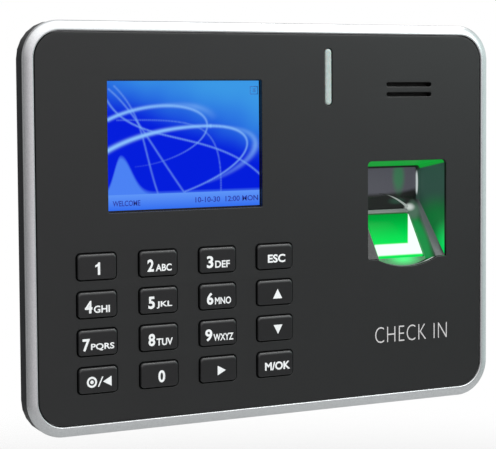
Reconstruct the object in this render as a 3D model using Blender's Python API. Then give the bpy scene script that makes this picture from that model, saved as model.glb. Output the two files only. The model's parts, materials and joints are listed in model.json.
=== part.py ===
"""Wall-mounted fingerprint attendance terminal, built as an assembly of separate pieces.

Run with  blender --background --python part.py  or from Blender's text editor.

Frame: the terminal hangs on a wall whose surface is the plane Y = 0. Its front looks along -Y, +X is to
the right of the person who faces it and +Z is up. The origin is the centre of the wall bracket's back
face. Sizes are in millimetres, and the helpers turn them into metres. Most places are given as a depth,
counted from the front panel's face towards the wall.
"""
import math

import bmesh
import bpy
from mathutils import Vector

MM = 0.001
GAP = 0.3               # air between pieces that touch on the real object

# Case
DEPTH = 30.0            # front panel's face to the wall
CASE_W, CASE_H = 184.6, 138.0
CASE_R = 12.8           # outer corner radius
RING_W = 3.6            # width of the silver ring, seen from the front
PANEL_T = 2.5
WALL = 2.2              # rear housing wall
STEP = 7.0              # depth where the housing starts to taper towards the wall
TAPER = 8.9             # how much each side has moved in at the back
BACK = 29.5             # depth of the housing's back rim
FLOOR = 26.2            # depth of the housing's inside back face
RECESS = 28.2           # depth of the recess floor that takes the bracket

# Display
SCREEN_X, SCREEN_Z = -33.6, 27.1
WINDOW_W, WINDOW_H = 58.4, 44.2
MODULE_W, MODULE_H = 69.2, 50.0
FRAME_FRONT = 1.2       # depth of the display frame's face

# Keypad
KEYPAD_X, KEYPAD_Z = -33.7, -31.6
PITCH_X, PITCH_Z = 22.54, 12.66
KEY_HOLE_W, KEY_HOLE_H, KEY_HOLE_R = 14.7, 9.3, 1.6
KEY_PROUD = 0.7         # cap above the panel's face
KEY_TRAVEL = 1.2
KEY_NAMES = (("1", "2", "3", "escape"), ("4", "5", "6", "up"),
             ("7", "8", "9", "down"), ("power_left", "0", "right", "menu_ok"))

# Status bar and speaker
BAR_X, BAR_Z, BAR_W, BAR_H = 22.7, 50.2, 3.1, 20.4
SPEAKER_X, SPEAKER_Z, SPEAKER_R = 56.9, 45.6, 14.0
SLOT_W, SLOT_H, SLOT_PITCH = 19.4, 1.5, 3.6

# Fingerprint recess: a tunnel with drafted sides, and a carrier tilted back inside it
SENSOR_X = 56.2
TUNNEL_HALF = 17.2
TUNNEL_TOP, TUNNEL_BOTTOM = 19.9, -16.3
SCOOP_HALF, SCOOP_LOW = 13.0, -19.4     # round scoop in the lower edge
DRAFT = 0.2
TUNNEL_DEPTH = 14.0
TILT = 0.66             # depth gained for each millimetre of height on the tilted faces
CREST_FOOT = -16.4      # height where the tilted face reaches the panel's face
GUIDE_BACK = 14.6       # depth of the carrier's upright back wall
PLATEN_W = 19.4
PLATEN_LOW, PLATEN_HIGH = -16.0, -0.7
PLATEN_FOOT = 4.0       # depth of the platen's lower edge
CHANNEL_HALF = 12.5
RETAINER_H = 1.9

# Boards
BOARD_FRONT, BOARD_T = 11.5, 1.6
CASE_SCREWS = [(x, z) for x in (-79.0, 79.0) for z in (-45.0, 45.0)]
BOARD_SCREWS = [(-62.0, -2.6), (-2.0, -2.6), (14.0, 40.0), (14.0, -52.0)]
BAY = (-42.0, 27.0, -46.0, -19.0)       # connector bay in the back: left, right, low, high

# Wall bracket
BRACKET_W, BRACKET_H, BRACKET_T = 140.0, 100.0, 1.5
BRACKET_ROOM = 1.0      # between the bracket and the recess around it
HOOKS_X = (-52.0, 52.0)
HOOK_Z = 30.0
LIFT = 6.0              # the terminal's travel off its hooks
LOCK_DEPTH = 24.0       # depth of the locking screw's axis
TAMPER_X, TAMPER_Z = 30.0, 12.0
RESET_X, RESET_DEPTH = -36.0, 18.0


# ---------------------------------------------------------------- helpers

def material(name, rgb, roughness, metallic=0.0):
    """A Principled material with one colour, given as linear red, green and blue."""
    mat = bpy.data.materials.new(name)
    mat.use_nodes = True
    shader = mat.node_tree.nodes["Principled BSDF"]
    shader.inputs["Base Color"].default_value = (*rgb, 1.0)
    shader.inputs["Roughness"].default_value = roughness
    shader.inputs["Metallic"].default_value = metallic
    return mat


def add_empty(name, origin=(0.0, 0.0, 0.0), parent=None):
    """An empty at a point in millimetres, to hold the pieces that move together."""
    empty = bpy.data.objects.new(name, None)
    bpy.context.scene.collection.objects.link(empty)
    empty.parent = parent
    base = parent.matrix_world.translation if parent else Vector()
    empty.location = Vector(origin) * MM - base
    bpy.context.view_layer.update()
    return empty


def add_piece(name, bm, mat, parent, origin=(0.0, 0.0, 0.0)):
    """Turn a bmesh in millimetres, in the terminal's frame, into an object with its origin at a point."""
    bmesh.ops.recalc_face_normals(bm, faces=bm.faces)
    bmesh.ops.translate(bm, verts=bm.verts, vec=-Vector(origin))
    bmesh.ops.scale(bm, verts=bm.verts, vec=(MM, MM, MM))
    mesh = bpy.data.meshes.new(name)
    bm.to_mesh(mesh)
    bm.free()
    mesh.shade_smooth()
    mesh.set_sharp_from_angle(angle=math.radians(30))
    if mat:
        mesh.materials.append(mat)
    obj = bpy.data.objects.new(name, mesh)
    bpy.context.scene.collection.objects.link(obj)
    obj.parent = parent
    base = parent.matrix_world.translation if parent else Vector()
    obj.location = Vector(origin) * MM - base
    return obj


def y_at(depth):
    """The frame's Y, in millimetres, of a depth behind the front panel's face."""
    return depth - DEPTH


def rounded_rect(w, h, r, x=0.0, z=0.0, steps=5):
    """Outline points (x, z) of a rectangle with round corners, counter-clockwise from the front."""
    points = []
    for i, (sx, sz) in enumerate(((1, 1), (-1, 1), (-1, -1), (1, -1))):
        for k in range(steps + 1):
            a = math.radians(90 * i + 90 * k / steps)
            points.append((x + sx * (w / 2 - r) + r * math.cos(a), z + sz * (h / 2 - r) + r * math.sin(a)))
    return points


def circle(r, x=0.0, z=0.0, steps=16):
    """Outline points of a circle, in the same sense as rounded_rect."""
    return [(x + r * math.cos(2 * math.pi * k / steps), z + r * math.sin(2 * math.pi * k / steps))
            for k in range(steps)]


def skin(bm, loops, closed=False):
    """Join vertex loops that follow each other. The two ends are capped, or joined when closed is set."""
    count = len(loops[0])
    pairs = list(zip(loops, loops[1:]))
    if closed:
        pairs.append((loops[-1], loops[0]))
    else:
        bm.faces.new(loops[0])
        bm.faces.new(reversed(loops[-1]))
    for near, far in pairs:
        for i in range(count):
            k = (i + 1) % count
            bm.faces.new((near[i], far[i], far[k], near[k]))
    return bm


def add_loft(bm, sections, closed=False):
    """Skin a list of (outline, depth) sections."""
    loops = [[bm.verts.new((x, y_at(depth), z)) for x, z in outline] for outline, depth in sections]
    return skin(bm, loops, closed)


def loft(*sections, closed=False):
    return add_loft(bmesh.new(), sections, closed)


def prism(outline, front, back):
    """An outline carried straight from one depth to another."""
    return loft((outline, front), (outline, back))


def add_box(bm, x, depth, z):
    """A box from three (low, high) pairs."""
    outline = [(x[1], z[0]), (x[1], z[1]), (x[0], z[1]), (x[0], z[0])]
    add_loft(bm, [(outline, depth[0]), (outline, depth[1])])


def box(x, depth, z):
    bm = bmesh.new()
    add_box(bm, x, depth, z)
    return bm


def boxes(*spans):
    bm = bmesh.new()
    for x, depth, z in spans:
        add_box(bm, x, depth, z)
    return bm


def bevelled(bm, width, segments=1):
    """Round every edge of a plain solid."""
    bmesh.ops.bevel(bm, geom=bm.edges, offset=width, segments=segments, affect="EDGES", profile=0.5)
    return bm


def side_prism(profile, x0, x1):
    """Carry a (depth, z) profile from x0 to x1."""
    bm = bmesh.new()
    return skin(bm, [[bm.verts.new((x, y_at(depth), z)) for depth, z in profile] for x in (x0, x1)])


def stack(*sections):
    """Skin a list of (outline, height) sections, where an outline holds (x, depth) points."""
    bm = bmesh.new()
    return skin(bm, [[bm.verts.new((x, y_at(depth), z)) for x, depth in outline] for outline, z in sections])


def upright(outline, low, high):
    """Carry an (x, depth) outline straight up from one height to another."""
    return stack((outline, low), (outline, high))


def join(*meshes):
    """Put several bmeshes, still separate bodies, into the first."""
    first = meshes[0]
    for other in meshes[1:]:
        mesh = bpy.data.meshes.new("part_of_tool")
        bmesh.ops.recalc_face_normals(other, faces=other.faces)
        other.to_mesh(mesh)
        other.free()
        first.from_mesh(mesh)
        bpy.data.meshes.remove(mesh)
    return first


def shape(obj, operation, name, bm):
    """Add a Boolean to a piece, with a hidden tool whose bodies don't touch each other."""
    tool = add_piece(name, bm, None, obj.parent, obj.location / MM + parent_place(obj))
    tool.hide_render = True
    tool.display_type = "WIRE"
    modifier = obj.modifiers.new(name, "BOOLEAN")
    modifier.operation = operation
    modifier.solver = "EXACT"
    modifier.object = tool


def parent_place(obj):
    return obj.parent.matrix_world.translation / MM if obj.parent else Vector()


def screw(x, z, head_front, tip, head_r, shank_r):
    """A screw along Y that is driven from the wall side, its head's bearing face at head_front."""
    drive_r = head_r * 0.45
    return loft((circle(shank_r * 0.6, x, z, 12), tip), (circle(shank_r, x, z, 12), tip + 1.0),
                (circle(shank_r, x, z, 12), head_front), (circle(head_r, x, z, 12), head_front),
                (circle(head_r, x, z, 12), head_front + 1.2), (circle(head_r * 0.8, x, z, 12), head_front + 1.7),
                (circle(drive_r, x, z, 12), head_front + 1.7), (circle(drive_r * 0.7, x, z, 12), head_front + 0.7))


# ---------------------------------------------------------------- case

def ring_outline(inset, steps=9):
    return rounded_rect(CASE_W - 2 * inset, CASE_H - 2 * inset, CASE_R - inset, steps=steps)


def case_outline(depth, inset=0.0):
    """The rear housing's outline: upright as far as STEP, then drawn in towards the wall."""
    lean = TAPER * max(0.0, depth - STEP) / (BACK - STEP)
    inset = inset + lean + 0.2
    radius = max(2.0, CASE_R - 0.2 - 0.7 * (inset - 0.2))
    return rounded_rect(CASE_W - 2 * inset, CASE_H - 2 * inset, radius, steps=6)


def tunnel_outline(depth, grow=0.0, corner=1.6):
    """The recess's outline. Sides and top lean in with depth, and the lower edge has a round scoop."""
    half = TUNNEL_HALF - DRAFT * max(0.0, depth) + grow
    top = TUNNEL_TOP - DRAFT * max(0.0, depth) + grow
    low = TUNNEL_BOTTOM - grow
    scoop = SCOOP_HALF + 0.4 * grow
    points = []
    for sx, a0 in ((1, 0), (-1, 90)):
        for k in range(4):
            a = math.radians(a0 + 30 * k)
            points.append((SENSOR_X + sx * (half - corner) + corner * math.cos(a),
                           top - corner + corner * math.sin(a)))
    points.append((SENSOR_X - half, low))
    steps = 24
    for k in range(steps + 1):
        u = 2 * k / steps - 1
        points.append((SENSOR_X + scoop * u, low + (SCOOP_LOW - TUNNEL_BOTTOM) * (1 - u * u)))
    points.append((SENSOR_X + half, low))
    return points


def key_centre(row, column):
    return KEYPAD_X + (column - 1.5) * PITCH_X, KEYPAD_Z + (1.5 - row) * PITCH_Z


def build_front_panel(mat, parent):
    width, height = CASE_W - 2 * (RING_W + GAP), CASE_H - 2 * (RING_W + GAP)
    radius = CASE_R - RING_W - GAP

    def outline(inset):
        return rounded_rect(width - 2 * inset, height - 2 * inset, radius - inset, steps=9)

    panel = add_piece("front_panel", loft((outline(0.6), 0.0), (outline(0.15), 0.2), (outline(0.0), 0.6),
                                          (outline(0.0), PANEL_T)), mat, parent, (0, y_at(0), 0))
    # the tunnel around the sensor and the screw posts stand on the panel's back
    posts = [prism(circle(2.8, x, z, 12), PANEL_T - 0.5, 18.0) for x, z in CASE_SCREWS]
    posts += [prism(circle(2.5, x, z, 12), PANEL_T - 0.5, BOARD_FRONT - GAP) for x, z in BOARD_SCREWS]
    tunnel = loft(*[(tunnel_outline(d, 1.5, 3.0), d) for d in (PANEL_T - 0.5, TUNNEL_DEPTH)])
    shape(panel, "UNION", "posts_and_tunnel", join(tunnel, *posts))

    pilots = [prism(circle(1.5, x, z, 12), 6.0, 19.0) for x, z in CASE_SCREWS]
    pilots += [prism(circle(1.2, x, z, 12), 4.0, 12.0) for x, z in BOARD_SCREWS]
    shape(panel, "DIFFERENCE", "pilot_holes", join(*pilots))

    shape(panel, "DIFFERENCE", "display_pocket",
          box((SCREEN_X - 34.9, SCREEN_X + 34.9), (0.9, 4.0), (SCREEN_Z - 25.3, SCREEN_Z + 25.3)))
    window = loft((rounded_rect(WINDOW_W + 0.8, WINDOW_H + 0.8, 0.5, SCREEN_X, SCREEN_Z, 2), -0.4),
                  (rounded_rect(WINDOW_W, WINDOW_H, 0.3, SCREEN_X, SCREEN_Z, 2), 0.4),
                  (rounded_rect(WINDOW_W, WINDOW_H, 0.3, SCREEN_X, SCREEN_Z, 2), 3.0))
    holes = [prism(rounded_rect(KEY_HOLE_W, KEY_HOLE_H, KEY_HOLE_R, *key_centre(row, col), 3), -1.0, 4.0)
             for row in range(4) for col in range(4)]
    bar = prism(rounded_rect(BAR_W, BAR_H, BAR_W / 2 - 0.01, BAR_X, BAR_Z, 5), -1.0, 4.0)
    slots = [prism(rounded_rect(SLOT_W, SLOT_H, SLOT_H / 2 - 0.01, SPEAKER_X, SPEAKER_Z + s * SLOT_PITCH / 2, 3), -1, 4)
             for s in (1, -1)]
    recess = loft((tunnel_outline(-1.0), -1.0), (tunnel_outline(0.0), 0.0), (tunnel_outline(16.0), 16.0))
    shape(panel, "DIFFERENCE", "openings", join(window, *holes, bar, *slots, recess))
    return panel


def build_bezel_ring(mat, parent):
    """The silver ring: a raised inner lip, a face that falls to the outer corner, and an inner tongue."""
    tongue, ledge = 2.8, RING_W + 2.4
    under = PANEL_T + GAP
    profile = [(RING_W, 0.0), (RING_W, under), (ledge, under), (ledge, 4.5), (tongue, 4.5), (tongue, 1.5),
               (0.0, 1.5), (0.0, 1.25), (0.12, 0.85), (0.4, 0.55), (0.9, 0.38), (2.6, 0.05),
               (2.9, -0.2), (3.2, -0.3), (3.5, -0.22)]
    bm = loft(*[(ring_outline(inset), depth) for inset, depth in profile], closed=True)
    return add_piece("bezel_ring", bm, mat, parent, (0, y_at(0), 0))


def build_rear_housing(mat, parent):
    front = 1.5 + GAP
    housing = add_piece("rear_housing", loft(
        (case_outline(FLOOR, WALL), FLOOR), (case_outline(STEP, WALL), STEP), (case_outline(front, WALL), front),
        (case_outline(front), front), (case_outline(STEP), STEP), (case_outline(BACK - 0.8), BACK - 0.8),
        (case_outline(BACK, 0.7), BACK)), mat, parent, (0, y_at(BACK), 0))
    shape(housing, "UNION", "lock_boss", box((-5.0, 5.0), (19.0, FLOOR + 0.5), (-61.6, -58.8)))
    # the recess reaches lower than the bracket, so that the terminal can be lifted off
    recess = rounded_rect(BRACKET_W + 2 * BRACKET_ROOM, BRACKET_H + 2 * BRACKET_ROOM + LIFT, 5.0, 0.0, -LIFT / 2, 3)
    shape(housing, "DIFFERENCE", "bracket_recess", prism(recess, RECESS, DEPTH + 1))
    left, right, low, high = BAY
    hooks = [((x - 6.6, x + 6.6), (20.0, DEPTH + 1), (HOOK_Z - LIFT - 0.6, HOOK_Z + BRACKET_T + GAP)) for x in HOOKS_X]
    lock_slot = ((-7.0, 7.0), (FLOOR - 1.0, DEPTH + 1), (-58.4, -48.2))
    usb = ((-63.0, -47.4), (14.4, 22.4), (-70.0, -58.5))
    bay = ((left, right), (20.0, DEPTH + 1), (low, high))
    shape(housing, "DIFFERENCE", "slots", boxes(bay, *hooks, lock_slot, usb))
    round_holes = [prism(circle(1.7, x, z, 12), 20.0, DEPTH + 1) for x, z in CASE_SCREWS]
    round_holes.append(prism(circle(2.0, TAMPER_X, TAMPER_Z, 12), 20.0, DEPTH + 1))
    shape(housing, "DIFFERENCE", "screw_holes", join(*round_holes))
    shape(housing, "DIFFERENCE", "counterbores", join(*[prism(circle(3.1, x, z, 12), 27.6, DEPTH + 1)
                                                         for x, z in CASE_SCREWS]))
    lock_hole = upright(circle(1.8, 0.0, LOCK_DEPTH, 12), -63.0, -50.0)
    reset_hole = upright(circle(1.3, RESET_X, RESET_DEPTH, 12), -70.0, -58.0)
    shape(housing, "DIFFERENCE", "lower_holes", join(lock_hole, reset_hole))
    shape(housing, "DIFFERENCE", "lock_head_recess",
          upright(circle(3.2, 0.0, LOCK_DEPTH, 12), -70.0, -60.0))
    return housing


def build_wall_bracket(mat):
    """A bent steel plate: two hooks that point up, and a tab for the locking screw."""
    front = DEPTH - BRACKET_T
    plate = rounded_rect(BRACKET_W, BRACKET_H, 4.0, steps=3)
    bracket = add_piece("wall_bracket", prism(plate, front, DEPTH), mat, None)
    lip = 24.4
    hook = [(front + 0.5, HOOK_Z), (front + 0.5, HOOK_Z + BRACKET_T), (lip + BRACKET_T, HOOK_Z + BRACKET_T),
            (lip + BRACKET_T, HOOK_Z + 7.0), (lip + 0.4, HOOK_Z + 7.0), (lip, HOOK_Z + 6.0), (lip, HOOK_Z)]
    parts = [side_prism(hook, x - 6.0, x + 6.0) for x in HOOKS_X]
    low = -BRACKET_H / 2
    parts.append(box((-6.0, 6.0), (20.0, front + 0.5), (low, low + BRACKET_T)))
    shape(bracket, "UNION", "hooks_and_tab", join(*parts))
    left, right, bay_low, bay_high = BAY
    window = prism(rounded_rect(right - left + 4, bay_high - bay_low - 1, 3.0, (left + right) / 2,
                                (bay_low + bay_high) / 2, 3), 27.0, 31.0)
    holes = [prism(circle(2.2, x, z, 12), 27.0, 31.0) for x in (-62.0, 62.0) for z in (-43.0, 43.0)]
    # punched windows under the hooks, where the steel for them was bent out
    windows = [box((x - 5.0, x + 5.0), (27.0, 31.0), (HOOK_Z - 12.0, HOOK_Z - 2.0)) for x in HOOKS_X]
    thread = upright(circle(1.7, 0.0, LOCK_DEPTH, 12), low - 1, low + 3)
    shape(bracket, "DIFFERENCE", "bracket_holes", join(window, *holes, *windows, thread))
    return bracket


# ---------------------------------------------------------------- display and keypad

def build_display(mats, parent):
    frame_back = FRAME_FRONT + 4.0
    place = (SCREEN_X, y_at(FRAME_FRONT), SCREEN_Z)
    outer = rounded_rect(MODULE_W, MODULE_H, 1.0, SCREEN_X, SCREEN_Z, 2)
    view = rounded_rect(58.6, 44.2, 0.5, SCREEN_X, SCREEN_Z, 2)
    pocket = rounded_rect(MODULE_W - 1.2, MODULE_H - 1.2, 0.7, SCREEN_X, SCREEN_Z, 2)
    add_piece("display_frame", loft((view, FRAME_FRONT), (view, FRAME_FRONT + 0.3), (pocket, FRAME_FRONT + 0.3),
                                    (pocket, frame_back), (outer, frame_back), (outer, FRAME_FRONT), closed=True),
              mats["steel"], parent, place)
    glass = FRAME_FRONT + 0.3 + GAP
    add_piece("display_glass", box((SCREEN_X - 33.7, SCREEN_X + 33.7), (glass, glass + 1.2),
                                   (SCREEN_Z - 24.1, SCREEN_Z + 24.1)), mats["glass"], parent, place)
    light = glass + 1.2 + GAP
    add_piece("display_backlight", box((SCREEN_X - 33.7, SCREEN_X + 33.7), (light, light + 2.2),
                                       (SCREEN_Z - 24.1, SCREEN_Z + 24.1)), mats["white"], parent, place)
    # flat cable: down behind the backlight, back between the keypad and the display, and onto the main board
    thick = 0.4
    route = [(light + 2.2 + GAP, 12.0), (light + 2.2 + GAP, 1.2), (BOARD_FRONT - GAP - thick, -1.8),
             (BOARD_FRONT - GAP - thick, -9.0)]
    back = [(depth + thick, z + (0.2 if i in (1, 2) else 0.0)) for i, (depth, z) in enumerate(route)]
    add_piece("display_cable", side_prism(route + back[::-1], SCREEN_X - 10, SCREEN_X + 10), mats["amber"], parent,
              (SCREEN_X, y_at(light + 2.5), 1.0))


def build_keypad(mats, parent):
    low_z, high_z = KEYPAD_Z - 24.7, KEYPAD_Z + 24.7
    span_x = (KEYPAD_X - 41.9, KEYPAD_X + 42.0)
    flange = PANEL_T + GAP
    flange_back = flange + 0.9
    mat_front = flange_back + KEY_TRAVEL + 0.4
    rubber = add_piece("keypad_mat", box(span_x, (mat_front, 8.0), (low_z, high_z)), mats["rubber"], parent,
                       (KEYPAD_X, y_at(mat_front), KEYPAD_Z))
    wells = [prism(circle(2.7, *key_centre(row, col), 8), 4.0, 7.7) for row in range(4) for col in range(4)]
    shape(rubber, "DIFFERENCE", "dome_wells", join(*wells))
    add_piece("keypad_board", box(span_x, (8.3, 9.9), (low_z, high_z)), mats["board"], parent,
              (KEYPAD_X, y_at(8.3), KEYPAD_Z))
    for row in range(4):
        for col in range(4):
            x, z = key_centre(row, col)
            w, h, r = KEY_HOLE_W - 2 * GAP, KEY_HOLE_H - 2 * GAP, KEY_HOLE_R - GAP
            sections = [(rounded_rect(w - 2.4, h - 2.4, 0.7, x, z, 2), -KEY_PROUD),
                        (rounded_rect(w - 1.3, h - 1.3, 0.9, x, z, 2), -KEY_PROUD + 0.12),
                        (rounded_rect(w - 0.4, h - 0.4, 1.1, x, z, 2), -KEY_PROUD + 0.5),
                        (rounded_rect(w, h, r, x, z, 2), -KEY_PROUD + 1.1),
                        (rounded_rect(w, h, r, x, z, 2), flange),
                        (rounded_rect(15.6, 10.4, 1.0, x, z, 2), flange),
                        (rounded_rect(15.6, 10.4, 1.0, x, z, 2), flange_back),
                        (rounded_rect(3.6, 3.6, 1.6, x, z, 2), flange_back),
                        (rounded_rect(3.6, 3.6, 1.6, x, z, 2), 6.2)]
            holder = add_empty("key_axis_" + KEY_NAMES[row][col], (x, y_at(0), z), parent)
            add_piece("key_" + KEY_NAMES[row][col], loft(*sections), mats["black"], holder, (x, y_at(0), z))


def build_status_bar(mats, parent):
    place = (BAR_X, y_at(0), BAR_Z)
    w, h = BAR_W - 2 * GAP, BAR_H - 2 * GAP
    body = rounded_rect(w, h, w / 2 - 0.01, BAR_X, BAR_Z, 5)
    foot = rounded_rect(w + 3, h + 3, w / 2 + 1.4, BAR_X, BAR_Z, 5)
    flange = PANEL_T + GAP
    add_piece("status_light_pipe", loft((body, 0.05), (body, flange), (foot, flange), (foot, 5.0)),
              mats["white"], parent, place)
    add_piece("status_board", box((BAR_X - 4, BAR_X + 4), (5.3, 6.9), (BAR_Z - 12, BAR_Z + 12)),
              mats["board"], parent, place)


def build_speaker(mats, parent):
    place = (SPEAKER_X, y_at(PANEL_T + GAP), SPEAKER_Z)
    cloth = PANEL_T + GAP
    add_piece("speaker_cloth", prism(circle(SPEAKER_R - 1, SPEAKER_X, SPEAKER_Z, 20), cloth, cloth + 0.3),
              mats["cloth"], parent, place)

    def ring(radius):
        return circle(radius, SPEAKER_X, SPEAKER_Z, 20)

    front = cloth + 0.6
    add_piece("speaker", loft((ring(3.0), front + 1.6), (ring(5.0), front + 2.2), (ring(11.0), front + 0.7),
                              (ring(12.4), front + 0.9), (ring(12.8), front), (ring(SPEAKER_R), front),
                              (ring(SPEAKER_R), front + 1.6), (ring(9.0), front + 4.0), (ring(9.0), front + 6.2)),
              mats["steel"], parent, place)


# ---------------------------------------------------------------- fingerprint unit

def crest_depth(z):
    """Depth of the carrier's tilted front face at a height."""
    return TILT * (z - CREST_FOOT)


def platen_depth(z):
    return PLATEN_FOOT + TILT * (z - PLATEN_LOW)


def tilted(points, low_z):
    """Turn (across, along, below) points on the platen's plane into frame points in millimetres.

    along runs up the slope from low_z, and below goes into the plane."""
    slope = math.hypot(1.0, TILT)
    up = Vector((0.0, TILT, 1.0)) / slope
    inward = Vector((0.0, 1.0, -TILT)) / slope
    foot = Vector((SENSOR_X, y_at(platen_depth(low_z)), low_z))
    return [foot + Vector((across, 0, 0)) + up * along + inward * below for across, along, below in points]


def tilted_loft(rows, low_z):
    """Skin rows of (across, along, below) points that follow each other round the same outline."""
    bm = bmesh.new()
    return skin(bm, [[bm.verts.new(p) for p in tilted(row, low_z)] for row in rows])


def channel_row(half, top, arch, below, low=-8.0, steps=22):
    """The finger channel's outline at one level: straight sides and an arched upper end."""
    points = [(half, low, below), (half, top, below)]
    for k in range(1, steps):
        a = math.pi * k / steps
        points.append((half * math.cos(a), top + arch * math.sin(a), below))
    return points + [(-half, top, below), (-half, low, below)]


def build_finger_guide(mats, parent):
    """The carrier: a plug that fits the tunnel, cut back to a tilted face and an upright back wall."""
    fit = -0.4
    guide = add_piece("finger_guide", loft(*[(tunnel_outline(d, fit), d) for d in (0.0, 17.0)]), mats["black"], parent,
                      (SENSOR_X, y_at(0), 0.0))
    top = CREST_FOOT + GUIDE_BACK / TILT
    front = [(-3.0, -25.0), (crest_depth(-21.0), -21.0), (GUIDE_BACK, top), (GUIDE_BACK, 30.0), (-3.0, 30.0)]
    shape(guide, "DIFFERENCE", "front_cut", side_prism(front, SENSOR_X - 25, SENSOR_X + 25))
    slope = math.hypot(1.0, TILT)
    length = (PLATEN_HIGH - PLATEN_LOW) * slope
    crest = (PLATEN_FOOT - crest_depth(PLATEN_LOW)) / slope      # how far the crests stand above the platen
    end = length + RETAINER_H + GAP
    rows = [channel_row(CHANNEL_HALF + 1.2, end + 0.5, 4.3, -crest - 3.0),
            channel_row(CHANNEL_HALF, end + 0.2, 3.4, -crest),
            channel_row(PLATEN_W / 2 + GAP + 0.2, end, 0.02, 0.0)]
    shape(guide, "DIFFERENCE", "finger_channel", tilted_loft(rows, PLATEN_LOW))
    # the well that the platen and its retainer drop into, open to the light box behind
    half = PLATEN_W / 2 + GAP
    well = [[(half, -GAP, b), (half, end, b), (-half, end, b), (-half, -GAP, b)] for b in (-1.0, 3.4)]
    shape(guide, "DIFFERENCE", "platen_well", tilted_loft(well, PLATEN_LOW))
    shape(guide, "DIFFERENCE", "light_box", side_prism([(8.0, -14.5), (16.4, -2.0), (18.0, -2.0), (18.0, -14.5)],
                                                       SENSOR_X - 7.5, SENSOR_X + 7.5))

    def slab(across, low, high, top_level, bottom_level):
        return [[(across, low, b), (across, high, b), (-across, high, b), (-across, low, b)]
                for b in (top_level, bottom_level)]

    foot = (SENSOR_X, y_at(PLATEN_FOOT), PLATEN_LOW)
    add_piece("platen", tilted_loft(slab(PLATEN_W / 2, 0.0, length, 0.0, 3.0), PLATEN_LOW), mats["glass"], parent, foot)
    add_piece("platen_retainer", tilted_loft(slab(PLATEN_W / 2, length + GAP, end - GAP, -0.2, 3.0), PLATEN_LOW),
              mats["grey"], parent, foot)


def build_sensor_unit(mats, parent):
    """The light box behind the carrier: a tray with the green light board, the lens and the camera board."""
    back, low, high = 17.3, -18.0, 15.0
    left, right = SENSOR_X - 14.0, SENSOR_X + 14.0
    rim = rounded_rect(right - left, high - low, 1.0, SENSOR_X, (low + high) / 2, 2)
    inner = rounded_rect(right - left - 2.4, high - low - 2.4, 0.6, SENSOR_X, (low + high) / 2, 2)
    add_piece("sensor_housing", loft((inner, 24.6), (inner, back), (rim, back), (rim, 25.8)), mats["black"], parent,
              (SENSOR_X, y_at(back), (low + high) / 2))
    add_piece("camera_board", box((left + 1.6, right - 1.6), (22.7, 24.3), (low + 1.6, high - 1.6)), mats["board"],
              parent, (SENSOR_X, y_at(22.7), 0))
    lens = [(circle(r, SENSOR_X, -5.0, 16), d) for r, d in ((1.8, 18.6), (2.6, 18.2), (3.6, 18.2), (3.9, 18.5),
                                                            (3.9, 20.4), (5.0, 20.4), (5.0, 22.4))]
    add_piece("sensor_lens", loft(*lens), mats["black"], parent, (SENSOR_X, y_at(18.2), -5.0))
    add_piece("light_board", box((SENSOR_X - 10, SENSOR_X + 10), (17.6, 18.8), (3.0, 12.0)), mats["board"], parent,
              (SENSOR_X, y_at(17.6), 7.5))
    thick = 0.4
    edge = left - GAP
    route = [(edge, 24.0), (edge - 3.0, 24.0), (33.5, BOARD_FRONT + BOARD_T + GAP + thick),
             (26.0, BOARD_FRONT + BOARD_T + GAP + thick)]
    inner_side = [(x, depth - thick) for x, depth in route]
    add_piece("sensor_cable", upright(route + inner_side[::-1], -6.0, 6.0), mats["amber"], parent,
              (edge, y_at(24.0), 0))


# ---------------------------------------------------------------- main board

def build_main_board(mats, parent):
    back = BOARD_FRONT + BOARD_T
    face = back + GAP
    place = (-20.0, y_at(BOARD_FRONT), -5.0)
    board = add_piece("main_board", box((-70.0, 36.0), (BOARD_FRONT, back), (-59.0, 48.0)), mats["board"], parent,
                      place)
    holes = [prism(circle(1.5, x, z, 12), 10.0, 15.0) for x, z in BOARD_SCREWS]
    shape(board, "DIFFERENCE", "board_holes", join(*holes))
    for i, (x, z) in enumerate(BOARD_SCREWS):
        add_piece("board_screw_%d" % (i + 1), screw(x, z, face, 7.0, 2.4, 0.9), mats["steel"], parent,
                  (x, y_at(face), z))
    add_piece("processor", bevelled(box((-26.0, -10.0), (face, face + 1.4), (14.0, 30.0)), 0.2), mats["chip"], parent,
              (-18.0, y_at(face), 22.0))
    add_piece("memory_chip", bevelled(box((-46.0, -34.0), (face, face + 1.2), (14.0, 32.0)), 0.2), mats["chip"],
              parent, (-40.0, y_at(face), 23.0))
    # the clock battery lies in a round open holder
    cx, cz = 4.0, 24.0
    add_piece("battery_holder", loft((circle(10.4, cx, cz, 24), face + 1.0), (circle(10.4, cx, cz, 24), face + 3.2),
                                     (circle(11.6, cx, cz, 24), face + 3.2), (circle(11.6, cx, cz, 24), face)),
              mats["black"], parent, (cx, y_at(face), cz))
    add_piece("clock_battery", loft((circle(9.6, cx, cz, 24), face + 1.3), (circle(10.0, cx, cz, 24), face + 1.6),
                                    (circle(10.0, cx, cz, 24), face + 4.2), (circle(9.7, cx, cz, 24), face + 4.5)),
              mats["steel"], parent, (cx, y_at(face), cz))


def socket(outer, inner, low, high, floor):
    """A socket body open at its lower end: nested (x, depth) outlines joined at the mouth."""
    return stack((outer, high), (outer, low), (inner, low), (inner, floor))


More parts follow.
